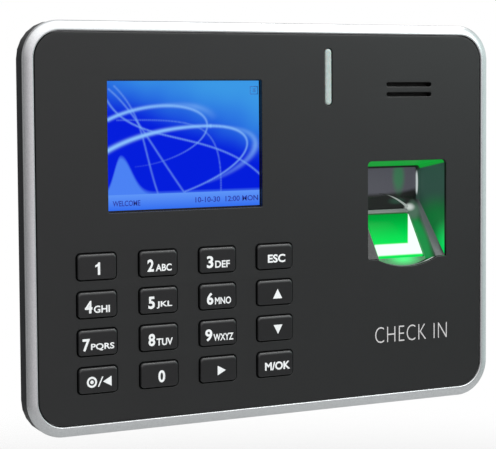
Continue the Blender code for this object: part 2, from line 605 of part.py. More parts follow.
def build_connectors(mats, parent):
    face = BOARD_FRONT + BOARD_T + GAP
    mouth = BAY[3] - 1.0

    def block(x0, x1, deep):
        return [(x0, face), (x1, face), (x1, face + deep), (x0, face + deep)]

    def inset(outline, side, near, far):
        (x0, d0), (x1, _), (_, d1), _ = outline
        return [(x0 + side, d0 + near), (x1 - side, d0 + near), (x1 - side, d1 - far), (x0 + side, d1 - far)]

    lan = block(-40.0, -24.0, 12.0)
    add_piece("lan_port", socket(lan, inset(lan, 2.1, 2.0, 2.4), mouth, mouth + 16.0, mouth + 12.5), mats["steel"],
              parent, (-32.0, y_at(face), mouth))
    jack_d = face + 5.5
    body = block(-20.5, -11.5, 11.0)
    hole = [(-16.0 + 3.2 * math.cos(a), jack_d + 3.2 * math.sin(a))
            for a in (math.radians(-135 + 90 * k) for k in range(4))]
    add_piece("power_jack", socket(body, hole, mouth, mouth + 14.0, mouth + 10.0), mats["black"], parent,
              (-16.0, y_at(face), mouth))
    green = add_piece("terminal_block", box((-8.0, 24.0), (face, face + 9.0), (mouth, mouth + 10.0)), mats["green"],
                      parent, (8.0, y_at(face), mouth))
    pitch = 32.0 / 8
    ways = [-6.0 + pitch * i for i in range(8)]
    wires = [box((x - 1.2, x + 1.2), (face + 3.3, face + 5.7), (mouth - 1, mouth + 6.0)) for x in ways]
    heads = [prism(circle(1.4, x, mouth + 5.0, 8), face + 7.8, face + 12.0) for x in ways]
    shape(green, "DIFFERENCE", "wire_ways", join(*wires, *heads))
    usb_x, usb_low = -55.2, -62.6
    shell = [(usb_x - 6.8, 14.9), (usb_x + 6.8, 14.9), (usb_x + 6.8, 21.9), (usb_x - 6.8, 21.9)]
    inner = [(usb_x - 6.3, 15.4), (usb_x + 6.3, 15.4), (usb_x + 6.3, 20.5), (usb_x - 6.3, 20.5)]
    add_piece("usb_port", socket(shell, inner, usb_low, usb_low + 14.0, usb_low + 9.0), mats["steel"], parent,
              (usb_x, y_at(18.4), usb_low))


def build_switches(mats, parent):
    face = BOARD_FRONT + BOARD_T + GAP
    # tamper switch: its plunger comes out of the back and rests on the bracket
    case = box((TAMPER_X - 9.0, TAMPER_X + 3.0), (face, 22.0), (TAMPER_Z - 3, TAMPER_Z + 3))
    body = add_piece("tamper_switch", case, mats["chip"], parent, (TAMPER_X, y_at(face), TAMPER_Z))
    shape(body, "DIFFERENCE", "plunger_bore", prism(circle(1.8, TAMPER_X, TAMPER_Z, 12), 18.0, 23.0))
    holder = add_empty("tamper_axis", (TAMPER_X, y_at(22.0), TAMPER_Z), parent)
    tip = DEPTH - BRACKET_T - GAP
    pin, nose = circle(1.5, TAMPER_X, TAMPER_Z, 12), circle(1.0, TAMPER_X, TAMPER_Z, 12)
    add_piece("tamper_plunger", loft((pin, 19.6), (pin, tip - 0.5), (nose, tip)), mats["white"], holder,
              (TAMPER_X, y_at(22.0), TAMPER_Z))
    # reset switch: a small button behind a hole in the lower wall
    rx, rd = RESET_X, RESET_DEPTH
    low = -56.0
    reset = add_piece("reset_switch", box((rx - 3, rx + 3), (face, face + 7.0), (low, low + 4.5)), mats["chip"], parent,
                      (rx, y_at(face), low))
    shape(reset, "DIFFERENCE", "button_bore",
          upright(circle(1.2, rx, rd, 12), low - 1, low + 2.5))
    axis = add_empty("reset_axis", (rx, y_at(rd), low), parent)
    add_piece("reset_button", upright(circle(0.9, rx, rd, 12), -60.5, low + 1.0),
              mats["white"], axis, (rx, y_at(rd), low))


def build_fasteners(mats, parent):
    for i, (x, z) in enumerate(CASE_SCREWS):
        add_piece("case_screw_%d" % (i + 1), screw(x, z, 27.9, 9.0, 2.7, 1.2), mats["steel"], parent,
                  (x, y_at(27.9), z))
    # radius and height of each step from the screw's tip to its drive
    rows = ((0.9, -44.5), (1.35, -45.5), (1.35, -60.3), (2.8, -60.3),
            (2.8, -61.6), (2.3, -62.2), (1.3, -62.2), (1.0, -61.2))
    bm = stack(*[(circle(r, 0.0, LOCK_DEPTH), z) for r, z in rows])
    axis = add_empty("locking_screw_axis", (0, y_at(LOCK_DEPTH), -60.3), parent)
    add_piece("locking_screw", bm, mats["steel"], axis, (0, y_at(LOCK_DEPTH), -60.3))


def main():
    for obj in list(bpy.data.objects):
        bpy.data.objects.remove(obj)
    mats = {
        "black": material("black_abs", (0.032, 0.034, 0.036), 0.5),
        "silver": material("silver_paint", (0.62, 0.62, 0.62), 0.32, 0.8),
        "rear": material("rear_abs", (0.028, 0.030, 0.034), 0.55),
        "steel": material("plated_steel", (0.56, 0.57, 0.58), 0.35, 1.0),
        "glass": material("cover_glass", (0.05, 0.25, 0.12), 0.08),
        "white": material("white_diffuser", (0.72, 0.76, 0.74), 0.4),
        "board": material("board_laminate", (0.02, 0.13, 0.06), 0.5),
        "amber": material("flat_cable_film", (0.55, 0.24, 0.05), 0.4),
        "rubber": material("keypad_rubber", (0.25, 0.26, 0.27), 0.8),
        "cloth": material("speaker_cloth", (0.01, 0.01, 0.01), 0.9),
        "grey": material("grey_abs", (0.40, 0.41, 0.42), 0.4),
        "chip": material("moulded_epoxy", (0.015, 0.015, 0.016), 0.5),
        "green": material("green_nylon", (0.02, 0.25, 0.07), 0.5),
    }
    build_wall_bracket(mats["steel"])
    terminal = add_empty("terminal")
    build_front_panel(mats["black"], terminal)
    build_bezel_ring(mats["silver"], terminal)
    build_rear_housing(mats["rear"], terminal)
    build_display(mats, terminal)
    build_keypad(mats, terminal)
    build_status_bar(mats, terminal)
    build_speaker(mats, terminal)
    build_finger_guide(mats, terminal)
    build_sensor_unit(mats, terminal)
    build_main_board(mats, terminal)
    build_connectors(mats, terminal)
    build_switches(mats, terminal)
    build_fasteners(mats, terminal)


main()
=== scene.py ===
# %% [markdown]
# # A wall-mounted fingerprint terminal
#
# A black plastic front with a silver ring around it carries a small colour display, sixteen rubber-dome
# keys, a status light, two speaker slots and a fingerprint reader that glows green inside a recess.
# Behind it are a plastic rear housing, the circuit boards and a steel wall bracket.
#
# The measured solids come first as a fixed frame. Each visible surface then gets either a better
# material or a new skin, worked out with numpy, in exactly the place that the frame gives.

# %% Load the frame and keep its size
import json
import math

import bmesh
import bpy
import numpy as np
from mathutils import Matrix, Vector

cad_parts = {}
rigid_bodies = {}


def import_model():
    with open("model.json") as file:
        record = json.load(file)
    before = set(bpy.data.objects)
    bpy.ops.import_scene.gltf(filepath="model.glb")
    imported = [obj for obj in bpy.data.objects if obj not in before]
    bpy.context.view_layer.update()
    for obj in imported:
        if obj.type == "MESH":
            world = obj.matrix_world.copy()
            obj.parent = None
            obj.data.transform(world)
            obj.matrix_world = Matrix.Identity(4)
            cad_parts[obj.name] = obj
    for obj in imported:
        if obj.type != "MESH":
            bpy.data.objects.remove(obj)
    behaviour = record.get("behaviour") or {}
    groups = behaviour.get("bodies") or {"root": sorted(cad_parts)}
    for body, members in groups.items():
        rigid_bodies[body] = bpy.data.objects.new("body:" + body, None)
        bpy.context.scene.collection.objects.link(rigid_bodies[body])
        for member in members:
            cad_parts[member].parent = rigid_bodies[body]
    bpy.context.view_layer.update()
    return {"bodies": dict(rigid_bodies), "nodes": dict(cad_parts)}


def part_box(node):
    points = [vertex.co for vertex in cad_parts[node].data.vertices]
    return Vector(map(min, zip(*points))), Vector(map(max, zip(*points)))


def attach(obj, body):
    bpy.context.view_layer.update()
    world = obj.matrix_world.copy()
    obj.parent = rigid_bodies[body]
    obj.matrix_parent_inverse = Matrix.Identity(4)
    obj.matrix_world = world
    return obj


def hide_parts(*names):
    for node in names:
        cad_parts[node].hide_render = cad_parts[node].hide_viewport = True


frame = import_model()

# %% [markdown]
# ## Places and helpers
#
# Everything is written in millimetres and turned into metres once, when a mesh is made. Y runs from the
# front of the terminal towards the wall, so a place is given as a depth behind the front panel's face.
# The face, the keys, the display and the reader are found from the frame's own boxes.

# %% Places, in millimetres
MM = 0.001


def box_mm(node):
    """Lowest corner, highest corner and centre of a frame node, in millimetres."""
    low, high = (np.array(corner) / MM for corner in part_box(node))
    return low, high, (low + high) / 2


FACE = box_mm("front_panel")[0][1]
PANEL_LOW, PANEL_HIGH, _ = box_mm("front_panel")
SCREEN = box_mm("display_glass")[2]
READER_X = box_mm("platen")[2][0]
print("face at Y =", round(float(FACE), 2), "display centre", SCREEN.round(1))

# %% Helpers for colour and for shader nodes


def linear(code):
    """An sRGB hex colour as linear red, green, blue and an alpha of 1."""
    c = np.array([int(code[i:i + 2], 16) for i in (1, 3, 5)]) / 255
    return (*np.where(c <= 0.04045, c / 12.92, ((c + 0.055) / 1.055) ** 2.4).tolist(), 1.0)


def feed(tree, node, inputs):
    """Fill a node's sockets, given by name or number. Each takes a number or a vector, an sRGB hex colour,
    or another node's output."""
    for key, value in inputs.items():
        if isinstance(value, bpy.types.NodeSocket):
            tree.links.new(value, node.inputs[key])
        else:
            node.inputs[key].default_value = linear(value) if isinstance(value, str) else value


def add(tree, kind, settings, inputs, output=0):
    """Add a shader node with its settings and its sockets, and return one of its outputs."""
    node = tree.nodes.new("ShaderNode" + kind)
    for key, value in settings.items():
        setattr(node, key, value)
    feed(tree, node, inputs)
    return node.outputs[output]


RGBA = {"data_type": "RGBA"}                    # makes a Mix node mix colours, which come out at output 2
SMOOTH = {"interpolation_type": "SMOOTHSTEP"}   # makes a MapRange node start and end gently
BLACK = (0.0, 0.0, 0.0, 1.0)


def new_material(name, **constants):
    """An empty node material: its tree, its Principled shader and its object coordinates in metres."""
    mat = bpy.data.materials.new(name)
    mat.use_nodes = True
    tree = mat.node_tree
    shader = tree.nodes["Principled BSDF"]
    feed(tree, shader, {key.replace("_", " "): value for key, value in constants.items()})
    return mat, tree, shader, add(tree, "TexCoord", {}, {}, "Object")


print("colour and node helpers ready")

# %% Outlines, and skins over them


def rounded_rect(w, h, r, steps=9):
    """Outline of a w by h rectangle, counter-clockwise from the front: four quarter circles of radius r,
    whose centres lie r inside the corners. One row per point, (x, z)."""
    turn = np.radians(np.concatenate([np.linspace(90 * i, 90 * i + 90, steps) for i in range(4)]))
    side_x, side_z = np.repeat([1, -1, -1, 1], steps), np.repeat([1, 1, -1, -1], steps)
    return np.column_stack([side_x * (w / 2 - r) + r * np.cos(turn), side_z * (h / 2 - r) + r * np.sin(turn)])


def circle(r, steps):
    """Outline of a circle: r times the cosine and sine of an even turn."""
    turn = np.linspace(0, 2 * np.pi, steps, endpoint=False)
    return r * np.column_stack([np.cos(turn), np.sin(turn)])


def skin(rings, closed=False):
    """Quads between neighbouring rings of points, an array of (rings, points, 3). The first and the last
    ring are capped with a face, or joined to each other when closed is set."""
    m, n = rings.shape[:2]
    ring = np.arange(m if closed else m - 1)[:, None]
    point = np.arange(n)[None, :]
    after, deeper = (point + 1) % n, (ring + 1) % m
    quads = np.stack([ring * n + point, deeper * n + point, deeper * n + after, ring * n + after], axis=-1)
    faces = quads.reshape(-1, 4).tolist()
    if not closed:
        faces += [list(range(n)), list(range((m - 1) * n, m * n))[::-1]]
    return rings.reshape(-1, 3), faces


def at_depth(flat, depth, x=0.0, z=0.0):
    """Flat points (x, z) moved by x and z, at a depth behind the front panel's face."""
    return np.column_stack([flat[:, 0] + x, np.full(len(flat), FACE + depth), flat[:, 1] + z])


def lofted(sections, x=0.0, z=0.0, closed=False):
    """Skin outlines (x, z) that each lie at a depth behind the front panel's face."""
    return skin(np.stack([at_depth(outline, depth, x, z) for outline, depth in sections]), closed)


def merged(parts):
    """Several (points, faces) pairs as one."""
    points, faces, count = [], [], 0
    for p, f in parts:
        points.append(p)
        faces += [[i + count for i in face] for face in f]
        count += len(p)
    return np.concatenate(points), faces


print("corner points of a square:", len(rounded_rect(1.0, 1.0, 0.1)))

# %% From points to pieces
DOUBLE = 2e-6           # m, points closer than this are merged


def new_object(name, data):
    """An object at the origin, linked to the scene."""
    obj = bpy.data.objects.new(name, data)
    bpy.context.scene.collection.objects.link(obj)
    return obj


def new_mesh(name, points, faces):
    """A mesh from points in millimetres and faces."""
    mesh = bpy.data.meshes.new(name)
    mesh.from_pydata((points * MM).tolist(), [], faces)
    return mesh


def rework(mesh, change, merge=DOUBLE):
    """Merge a mesh's doubles, then let the function change work on it."""
    bm = bmesh.new()
    bm.from_mesh(mesh)
    bmesh.ops.remove_doubles(bm, verts=bm.verts, dist=merge)
    change(bm)
    bm.to_mesh(mesh)
    bm.free()


def riding(name, mesh, mat, body):
    """A mesh in one material as an object that rides on a body."""
    mesh.materials.clear()
    mesh.materials.append(mat)
    obj = new_object(name, mesh)
    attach(obj, body)
    return obj


def finish_mesh(mesh, name, mat, body, stands_for=(), crease=35.0, edge=0.0):
    """Point the faces outwards, smooth all but the creases, and ride on a body. edge rounds the creases
    by that many millimetres."""
    rework(mesh, lambda bm: bmesh.ops.recalc_face_normals(bm, faces=bm.faces))
    for layer in ("custom_normal", "sharp_edge", "sharp_face"):
        if layer in mesh.attributes:
            mesh.attributes.remove(mesh.attributes[layer])
    mesh.shade_smooth()
    mesh.set_sharp_from_angle(angle=math.radians(crease))
    obj = riding(name, mesh, mat, body)
    if edge:
        rounding = obj.modifiers.new("rounded_edges", "BEVEL")
        rounding.width, rounding.segments = edge * MM, 3
        rounding.limit_method, rounding.angle_limit = "ANGLE", math.radians(crease)
        mesh.set_sharp_from_angle(angle=math.radians(180))
    obj.modifiers.new("even_shading", "WEIGHTED_NORMAL").keep_sharp = True
    if stands_for:
        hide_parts(*stands_for)


def make_piece(name, shape, mat, body, stands_for=(), crease=35.0, edge=0.0):
    """A piece from (points in millimetres, faces)."""
    finish_mesh(new_mesh(name, *shape), name, mat, body, stands_for, crease, edge)


def smooth_copy(name, node, mat, body, crease=35.0, edge=0.0):
    """A frame node's own shape as one merged skin, so that its curves shade smoothly. It stands for the
    node."""
    mesh = frame["nodes"][node].data.copy()
    rework(mesh, lambda bm: bmesh.ops.dissolve_limit(bm, angle_limit=math.radians(0.5), verts=bm.verts,
                                                     edges=bm.edges))
    finish_mesh(mesh, name, mat, body, (node,), crease, edge)


print("mesh helpers ready")

# %% [markdown]
# ## The camera
#
# The terminal is seen from its left and slightly from above, from about 60 cm away. The camera's turn is
# three small turns after one that makes it look along +Y. The lens shift is a few percent, because the
# terminal sits a little low in the frame.

# %% Camera
LENS, SENSOR = 123.9, 36.0      # mm
SHIFT = (-0.0052, -0.0496)      # parts of the picture's width
EYE = np.array((-290.2, -551.8, 44.0))
PITCH, YAW, ROLL = math.radians(3.52), math.radians(-28.31), math.radians(-0.39)

look_ahead = Matrix(((1, 0, 0), (0, 0, -1), (0, 1, 0)))
turned = (Matrix.Rotation(ROLL, 3, "Z") @ Matrix.Rotation(PITCH, 3, "X") @ Matrix.Rotation(YAW, 3, "Y")
          @ look_ahead)
upright = Matrix(((1, 0, 0), (0, -1, 0), (0, 0, -1)))
camera_data = bpy.data.cameras.new("camera")
camera_data.lens, camera_data.sensor_width = LENS, SENSOR
camera_data.shift_x, camera_data.shift_y = SHIFT
camera_data.clip_start, camera_data.clip_end = 0.01, 50.0
camera = new_object("camera", camera_data)
camera.matrix_world = Matrix.Translation(Vector((EYE * MM).tolist())) @ (upright @ turned).inverted().to_4x4()
bpy.context.scene.camera = camera
print("camera at", EYE, "mm")

# %% [markdown]
# ## Plastics
#
# The front, the keys and the rear are moulded ABS. The mould is spark-eroded, which leaves a fine pitted
# grain: it breaks the gloss up without showing as colour. The grain is a noise, its size given in
# millimetres, and it drives both a small bump and a little change of roughness. The real grain is about
# 0.1 mm across; on the case it is drawn at 0.45 mm or more so that it can show at this distance. Ink, pins
# and chip packages are smoother and get the same function with a shallower grain.

# %% Moulded plastics


def moulded(name, dark, light, grain, height, roughness, cloud=30.0, **constants):
    """Moulded plastic. dark to light is the colour's slow change over cloud millimetres; grain is the
    pits' spacing and height their depth, in millimetres; roughness is its lowest and highest value."""
    mat, tree, shader, place = new_material(name, **constants)
    slow = add(tree, "TexNoise", {}, {"Vector": place, "Scale": 1 / (cloud * MM), "Detail": 3.0})
    fine = add(tree, "TexNoise", {}, {"Vector": place, "Scale": 1 / (grain * MM), "Detail": 2.0,
                                      "Roughness": 0.7})
    feed(tree, shader, {
        "Base Color": add(tree, "Mix", RGBA, {0: slow, 6: dark, 7: light}, 2),
        "Roughness": add(tree, "MapRange", {}, {"Value": fine, "From Min": 0.3, "From Max": 0.7,
                                                "To Min": roughness[0], "To Max": roughness[1]}),
        "Normal": add(tree, "Bump", {}, {"Height": fine, "Distance": height * MM, "Strength": 1.0})})
    return mat


front_abs = moulded("black_abs_spark_grain", "#0a0b0b", "#111314", 0.45, 0.012, (0.40, 0.52), IOR=1.48)
key_abs = moulded("black_abs_satin_key", "#101112", "#161718", 0.6, 0.004, (0.28, 0.35), IOR=1.5)
rear_abs = moulded("black_abs_coarse_grain", "#15171b", "#1d2025", 0.7, 0.03, (0.5, 0.62), IOR=1.53)
black_nylon = moulded("black_glass_filled_nylon", "#101112", "#1a1b1d", 0.5, 0.02, (0.42, 0.58), IOR=1.53)
grey_abs = moulded("grey_abs_strip", "#7f8483", "#8c9190", 0.5, 0.006, (0.35, 0.45), IOR=1.53)
green_nylon = moulded("green_nylon_terminal", "#0c6b34", "#138544", 0.5, 0.01, (0.38, 0.5), IOR=1.53)
white_acetal = moulded("white_acetal_pin", "#d4d4cd", "#e3e3dd", 0.5, 0.004, (0.28, 0.36), IOR=1.48)
keypad_rubber = moulded("grey_silicone_rubber", "#4c5052", "#5b5f61", 0.5, 0.01, (0.6, 0.75), IOR=1.43)
white_acrylic = moulded("white_acrylic_light_guide", "#c9ced0", "#dfe3e4", 0.8, 0.004, (0.2, 0.3), IOR=1.49)
moulded_epoxy = moulded("black_moulded_epoxy", "#101011", "#18181a", 0.12, 0.004, (0.45, 0.6), 4.0, IOR=1.55)
white_ink = moulded("white_pad_print", "#e6e9ea", "#f6f8f8", 0.4, 0.002, (0.45, 0.55), 3.0, IOR=1.5)
grey_ink = moulded("pale_grey_pad_print", "#c2bfbf", "#d2d0d0", 0.4, 0.002, (0.45, 0.55), 3.0, IOR=1.5)
print("plastics ready")

# %% [markdown]
# ## Silver paint
#
# The ring is ABS sprayed with a silver lacquer: fine aluminium flakes lie almost flat under a clear coat.
# Each flake mirrors the light a little differently, which gives a soft sparkle. A Voronoi pattern tilts
# and tints small cells, and the coat adds the smooth gloss on top. Real flakes are 0.03 mm; cells of
# 0.25 mm are the finest that show here.

# %% Silver paint
silver_paint, tree, shader, place = new_material("silver_metallic_paint", Metallic=0.75, Coat_Weight=0.5,
                                                 Coat_Roughness=0.12)
flakes = add(tree, "TexVoronoi", {}, {"Vector": place, "Scale": 1 / (0.25 * MM)})
flake_pick = add(tree, "SeparateColor", {}, {"Color": flakes.node.outputs["Color"]})
feed(tree, shader, {
    "Base Color": add(tree, "Mix", RGBA, {0: flake_pick, 6: "#bec0c2", 7: "#cccecf"}, 2),
    "Roughness": add(tree, "MapRange", {}, {"Value": flakes, "To Min": 0.3, "To Max": 0.38}),
    "Normal": add(tree, "Bump", {}, {"Height": flakes, "Distance": 0.004 * MM, "Strength": 0.5})})
print(silver_paint.name)

# %% [markdown]
# ## Metals
#
# The bracket and the speaker are zinc-plated sheet: the plating grows in flat crystals, called spangle,
# each with its own grey. The port shells and the display frame are tinned sheet that was rolled, which
# leaves fine lines along the sheet. Screws and the battery are turned or drawn and nickel bright.

# %% Metals


def sheet_metal(name, dark, light, spangle, rolled, roughness):
    """Plated sheet. spangle is the crystals' size and rolled the spacing of the rolling lines, in mm."""
    mat, tree, shader, place = new_material(name, Metallic=1.0)
    crystals = add(tree, "TexVoronoi", {}, {"Vector": place, "Scale": 1 / (spangle * MM)}, "Color")
    drawn_out = add(tree, "Mapping", {}, {"Vector": place, "Scale": (0.05, 1.0, 1.0)})
    lines = add(tree, "TexNoise", {}, {"Vector": drawn_out, "Scale": 1 / (rolled * MM), "Detail": 3.0})
    pick = add(tree, "SeparateColor", {}, {"Color": crystals})
    half = add(tree, "Math", {"operation": "MULTIPLY"}, {0: pick, 1: 0.5})
    both = add(tree, "Math", {"operation": "MULTIPLY_ADD"}, {0: lines, 1: 0.5, 2: half})
    feed(tree, shader, {
        "Base Color": add(tree, "Mix", RGBA, {0: both, 6: dark, 7: light}, 2),
        "Roughness": add(tree, "MapRange", {}, {"Value": both, "To Min": roughness[0],
                                                "To Max": roughness[1]}),
        "Normal": add(tree, "Bump", {}, {"Height": lines, "Distance": 0.004 * MM, "Strength": 0.8})})
    return mat


zinc_sheet = sheet_metal("zinc_plated_sheet", "#a3a6a6", "#c6c9c9", 3.5, 0.5, (0.3, 0.45))
tin_sheet = sheet_metal("tinned_sheet", "#b2b3b0", "#d0d0cb", 2.0, 0.3, (0.25, 0.38))
bright_nickel = sheet_metal("drawn_nickel", "#bcb8ae", "#d2cec3", 1.2, 0.15, (0.2, 0.32))
zinc_screw = sheet_metal("zinc_plated_screw", "#aeb1b6", "#c9ccd1", 0.8, 0.12, (0.22, 0.34))
print("metals ready")

# %% [markdown]
# ## Boards, cables and cloth
#
# A circuit board is glass laminate under green solder mask, with copper tracks that show as lighter
# lines, mostly along two directions, and round bright pads. A flat cable is amber polyimide film over
# parallel copper strips. The speaker is dressed with a loosely woven black cloth.

# %% Boards, cables and cloth


def wave_scale(spacing):
    """The scale that a wave texture needs for bands this many millimetres apart. Its phase is 20 times
    the scaled coordinate, so a band takes 2 pi over 20 of it."""
    return 2 * math.pi / (20 * spacing * MM)


board_green, tree, shader, place = new_material("green_solder_mask", IOR=1.5)
grid = add(tree, "TexBrick", {"offset": 0.5}, {"Vector": place, "Scale": 1 / (6.0 * MM), "Mortar Size": 0.04,
                                               "Brick Width": 0.9, "Row Height": 0.22}, "Fac")
pads = add(tree, "TexVoronoi", {}, {"Vector": place, "Scale": 1 / (5.0 * MM), "Randomness": 0.6})
on_pad = add(tree, "Math", {"operation": "LESS_THAN"}, {0: pads, 1: 0.13})
tracks = add(tree, "Mix", RGBA, {0: grid, 6: "#0b4a26", 7: "#14693a"}, 2)
feed(tree, shader, {
    "Base Color": add(tree, "Mix", RGBA, {0: on_pad, 6: tracks, 7: "#c4c1ae"}, 2),
    "Roughness": add(tree, "MapRange", {}, {"Value": on_pad, "To Min": 0.32, "To Max": 0.25}),
    "Metallic": on_pad,
    "Normal": add(tree, "Bump", {}, {"Height": grid, "Distance": 0.03 * MM, "Strength": 0.7})})

amber_film, tree, shader, place = new_material("amber_polyimide_film", IOR=1.6)
strips = add(tree, "TexWave", {"bands_direction": "X"}, {"Vector": place, "Scale": wave_scale(1.0)}, "Fac")
feed(tree, shader, {
    "Base Color": add(tree, "Mix", RGBA, {0: strips, 6: "#8a4c12", 7: "#c98a3c"}, 2),
    "Roughness": add(tree, "MapRange", {}, {"Value": strips, "To Min": 0.22, "To Max": 0.34}),
    "Normal": add(tree, "Bump", {}, {"Height": strips, "Distance": 0.02 * MM})})

black_cloth, tree, shader, place = new_material("black_acoustic_cloth", Sheen_Weight=0.3, IOR=1.45)
warp = add(tree, "TexWave", {"bands_direction": "X"}, {"Vector": place, "Scale": wave_scale(0.4)}, "Fac")
weft = add(tree, "TexWave", {"bands_direction": "Z"}, {"Vector": place, "Scale": wave_scale(0.4)}, "Fac")
weave = add(tree, "Math", {"operation": "MULTIPLY"}, {0: warp, 1: weft})
feed(tree, shader, {
    "Base Color": add(tree, "Mix", RGBA, {0: weave, 6: "#040404", 7: "#141414"}, 2),
    "Roughness": add(tree, "MapRange", {}, {"Value": weave, "To Min": 0.95, "To Max": 0.8}),
    "Normal": add(tree, "Bump", {}, {"Height": weave, "Distance": 0.1 * MM})})
print("boards, cables and cloth ready")

# %% [markdown]
# ## The front panel
#
# One moulding: a plate with every opening in it, and behind it a short tunnel around the fingerprint
# reader. The plate is a flat curve whose outlines lie inside one another: the fill leaves the inner ones
# out, and the curve's own bevel rounds the rim of every opening alike. A Boolean would do too, but its
# edges are hard to round evenly. The curve is made a mesh before it is put in place. The plate's outer
# edge has a wider roll, which catches a line of light, so it is carried around the outline on its own.

# %% Front panel
WINDOW_W, WINDOW_H = 58.4, 44.2
KEY_HOLE_W, KEY_HOLE_H, KEY_HOLE_R = 14.7, 9.3, 1.6
KEY_AT = {name: box_mm(name)[2][[0, 2]] for name in sorted(frame["bodies"]) if name.startswith("key_")}
BAR_LOW, BAR_HIGH, BAR = box_mm("status_light_pipe")
BAR_SLOT_W, BAR_SLOT_H = 3.1, 20.4
SPEAKER = box_mm("speaker")[2]
SPEAKER_SLOT_W, SPEAKER_SLOT_H, SLOTS_APART = 19.4, 1.5, 3.6
PANEL_R = 8.9
TUNNEL_BACK, TUNNEL_WALL = 13.6, 1.5
LIP_HALF, LIP_TOP = 13.0, 16.5      # the opening at the tunnel's back is cut to this
TUNNEL_HALF, TUNNEL_TOP, TUNNEL_LOW = 17.2, 19.9, -16.3
SCOOP_HALF, SCOOP_DROP = 13.0, 3.1
DRAFT = 0.2             # how much the sides of the tunnel lean in for each millimetre of depth


def tunnel_outline(depth, grow=0.0, corner=1.6, steps=8, scoop_steps=40):
    """The recess's outline at a depth: straight sides and top that lean in by DRAFT times the depth, two
    round upper corners, and below them a parabola that dips SCOOP_DROP under the lower edge."""
    half, top = TUNNEL_HALF - DRAFT * depth + grow, TUNNEL_TOP - DRAFT * depth + grow
    low = TUNNEL_LOW - grow
    turn = np.radians(np.linspace(0, 90, steps))
    right = np.column_stack([half - corner + corner * np.cos(turn), top - corner + corner * np.sin(turn)])
    left = right[::-1] * [-1, 1]
    across = np.linspace(-1, 1, scoop_steps)
    scoop = np.column_stack([(SCOOP_HALF + 0.4 * grow) * across, low - SCOOP_DROP * (1 - across ** 2)])
    return np.concatenate([right, left, [[-half, low]], scoop, [[half, low]]]) + [READER_X, 0.0]


def flattened(curve):
    """A curve or a text as a mesh's points and faces. It is in the scene only while Blender works it out."""
    holder = new_object("holder", curve)
    bpy.context.view_layer.update()
    mesh = bpy.data.meshes.new_from_object(holder.evaluated_get(bpy.context.evaluated_depsgraph_get()))
    bpy.data.objects.remove(holder)
    points = np.zeros(len(mesh.vertices) * 3)
    mesh.vertices.foreach_get("co", points)
    faces = [list(polygon.vertices) for polygon in mesh.polygons]
    bpy.data.meshes.remove(mesh)
    return points.reshape(-1, 3), faces


def perforated_plate(outlines, front, back, edge):
    """A plate between two depths: a filled flat curve, extruded and bevelled by edge millimetres."""
    curve = bpy.data.curves.new("plate", "CURVE")
    curve.dimensions, curve.fill_mode = "2D", "BOTH"
    curve.extrude, curve.bevel_depth = (back - front) / 2 - edge, edge
    curve.bevel_resolution, curve.offset = 2, -edge
    for outline in outlines:
        spline = curve.splines.new("POLY")
        spline.points.add(len(outline) - 1)
        with_weight = np.column_stack([outline, np.zeros(len(outline)), np.ones(len(outline))])
        spline.points.foreach_set("co", with_weight.ravel())
        spline.use_cyclic_u = True
    flat, faces = flattened(curve)
    return np.column_stack([flat[:, 0], FACE + (front + back) / 2 - flat[:, 2], flat[:, 1]]), faces


print(len(KEY_AT), "key openings")

# %% The plate, the tunnel and the rolled edge
panel_w, _, panel_h = PANEL_HIGH - PANEL_LOW
openings = [rounded_rect(panel_w, panel_h, PANEL_R, 16)]
openings.append(rounded_rect(WINDOW_W, WINDOW_H, 0.5, 4) + SCREEN[[0, 2]])
openings += [rounded_rect(KEY_HOLE_W, KEY_HOLE_H, KEY_HOLE_R, 8) + at for at in KEY_AT.values()]
openings.append(rounded_rect(BAR_SLOT_W, BAR_SLOT_H, BAR_SLOT_W / 2 - 0.01, 10) + BAR[[0, 2]])
openings += [rounded_rect(SPEAKER_SLOT_W, SPEAKER_SLOT_H, SPEAKER_SLOT_H / 2 - 0.01, 8) + SPEAKER[[0, 2]]
             + [0, side * SLOTS_APART / 2] for side in (1, -1)]
openings.append(tunnel_outline(0.0, -0.2))
plate = perforated_plate(openings, front=0.0, back=2.5, edge=0.25)
make_piece("front_panel_moulding", plate, front_abs, "terminal", ("front_panel",), crease=30.0)

back, wall = TUNNEL_BACK, TUNNEL_WALL
lip = np.clip(tunnel_outline(back + 0.1), [READER_X - LIP_HALF, -30.0], [READER_X + LIP_HALF, LIP_TOP])
tunnel = lofted([(tunnel_outline(0.35, 0.02), 0.35), (tunnel_outline(back, 0.02), back), (lip, back + 0.1),
                 (lip, back + 0.5), (tunnel_outline(back + 0.5, wall, 3.0), back + 0.5),
                 (tunnel_outline(0.8, wall, 3.0), 0.8)], closed=True)

# the rolled edge is a quarter ellipse, 0.7 mm in and 0.45 mm deep, on a short skirt
roll = np.radians(np.linspace(0, 90, 7))
rim_profile = [(0.7 * (1 - np.cos(t)), 0.45 * (1 - np.sin(t)) - 0.01) for t in roll]
rim_profile += [(1.2, -0.01), (1.2, 1.0), (0, 1.0)]
panel_rim = lofted([(rounded_rect(panel_w - 2 * inset, panel_h - 2 * inset, PANEL_R - inset, 16), depth)
                    for inset, depth in rim_profile], closed=True)
make_piece("front_panel_rim", panel_rim, front_abs, "terminal", crease=50.0)
print("plate:", len(plate[1]), "faces for", len(openings), "outlines")

# %% [markdown]
# ## The silver ring
#
# The ring is one profile carried around the case's rounded outline. From its inner edge, which stands a
# little above the panel, its face falls away ever more steeply towards the side, so its upper run looks
# up at the light and its lower run looks down. Working the profile out as a function keeps it smooth.

# %% Ring
RING_W = 3.6
SIDE_ROLL, GROOVE_ROLL = 0.4, 0.6
CASE_W, CASE_H = (box_mm("bezel_ring")[1] - box_mm("bezel_ring")[0])[[0, 2]]
CASE_R = 12.8


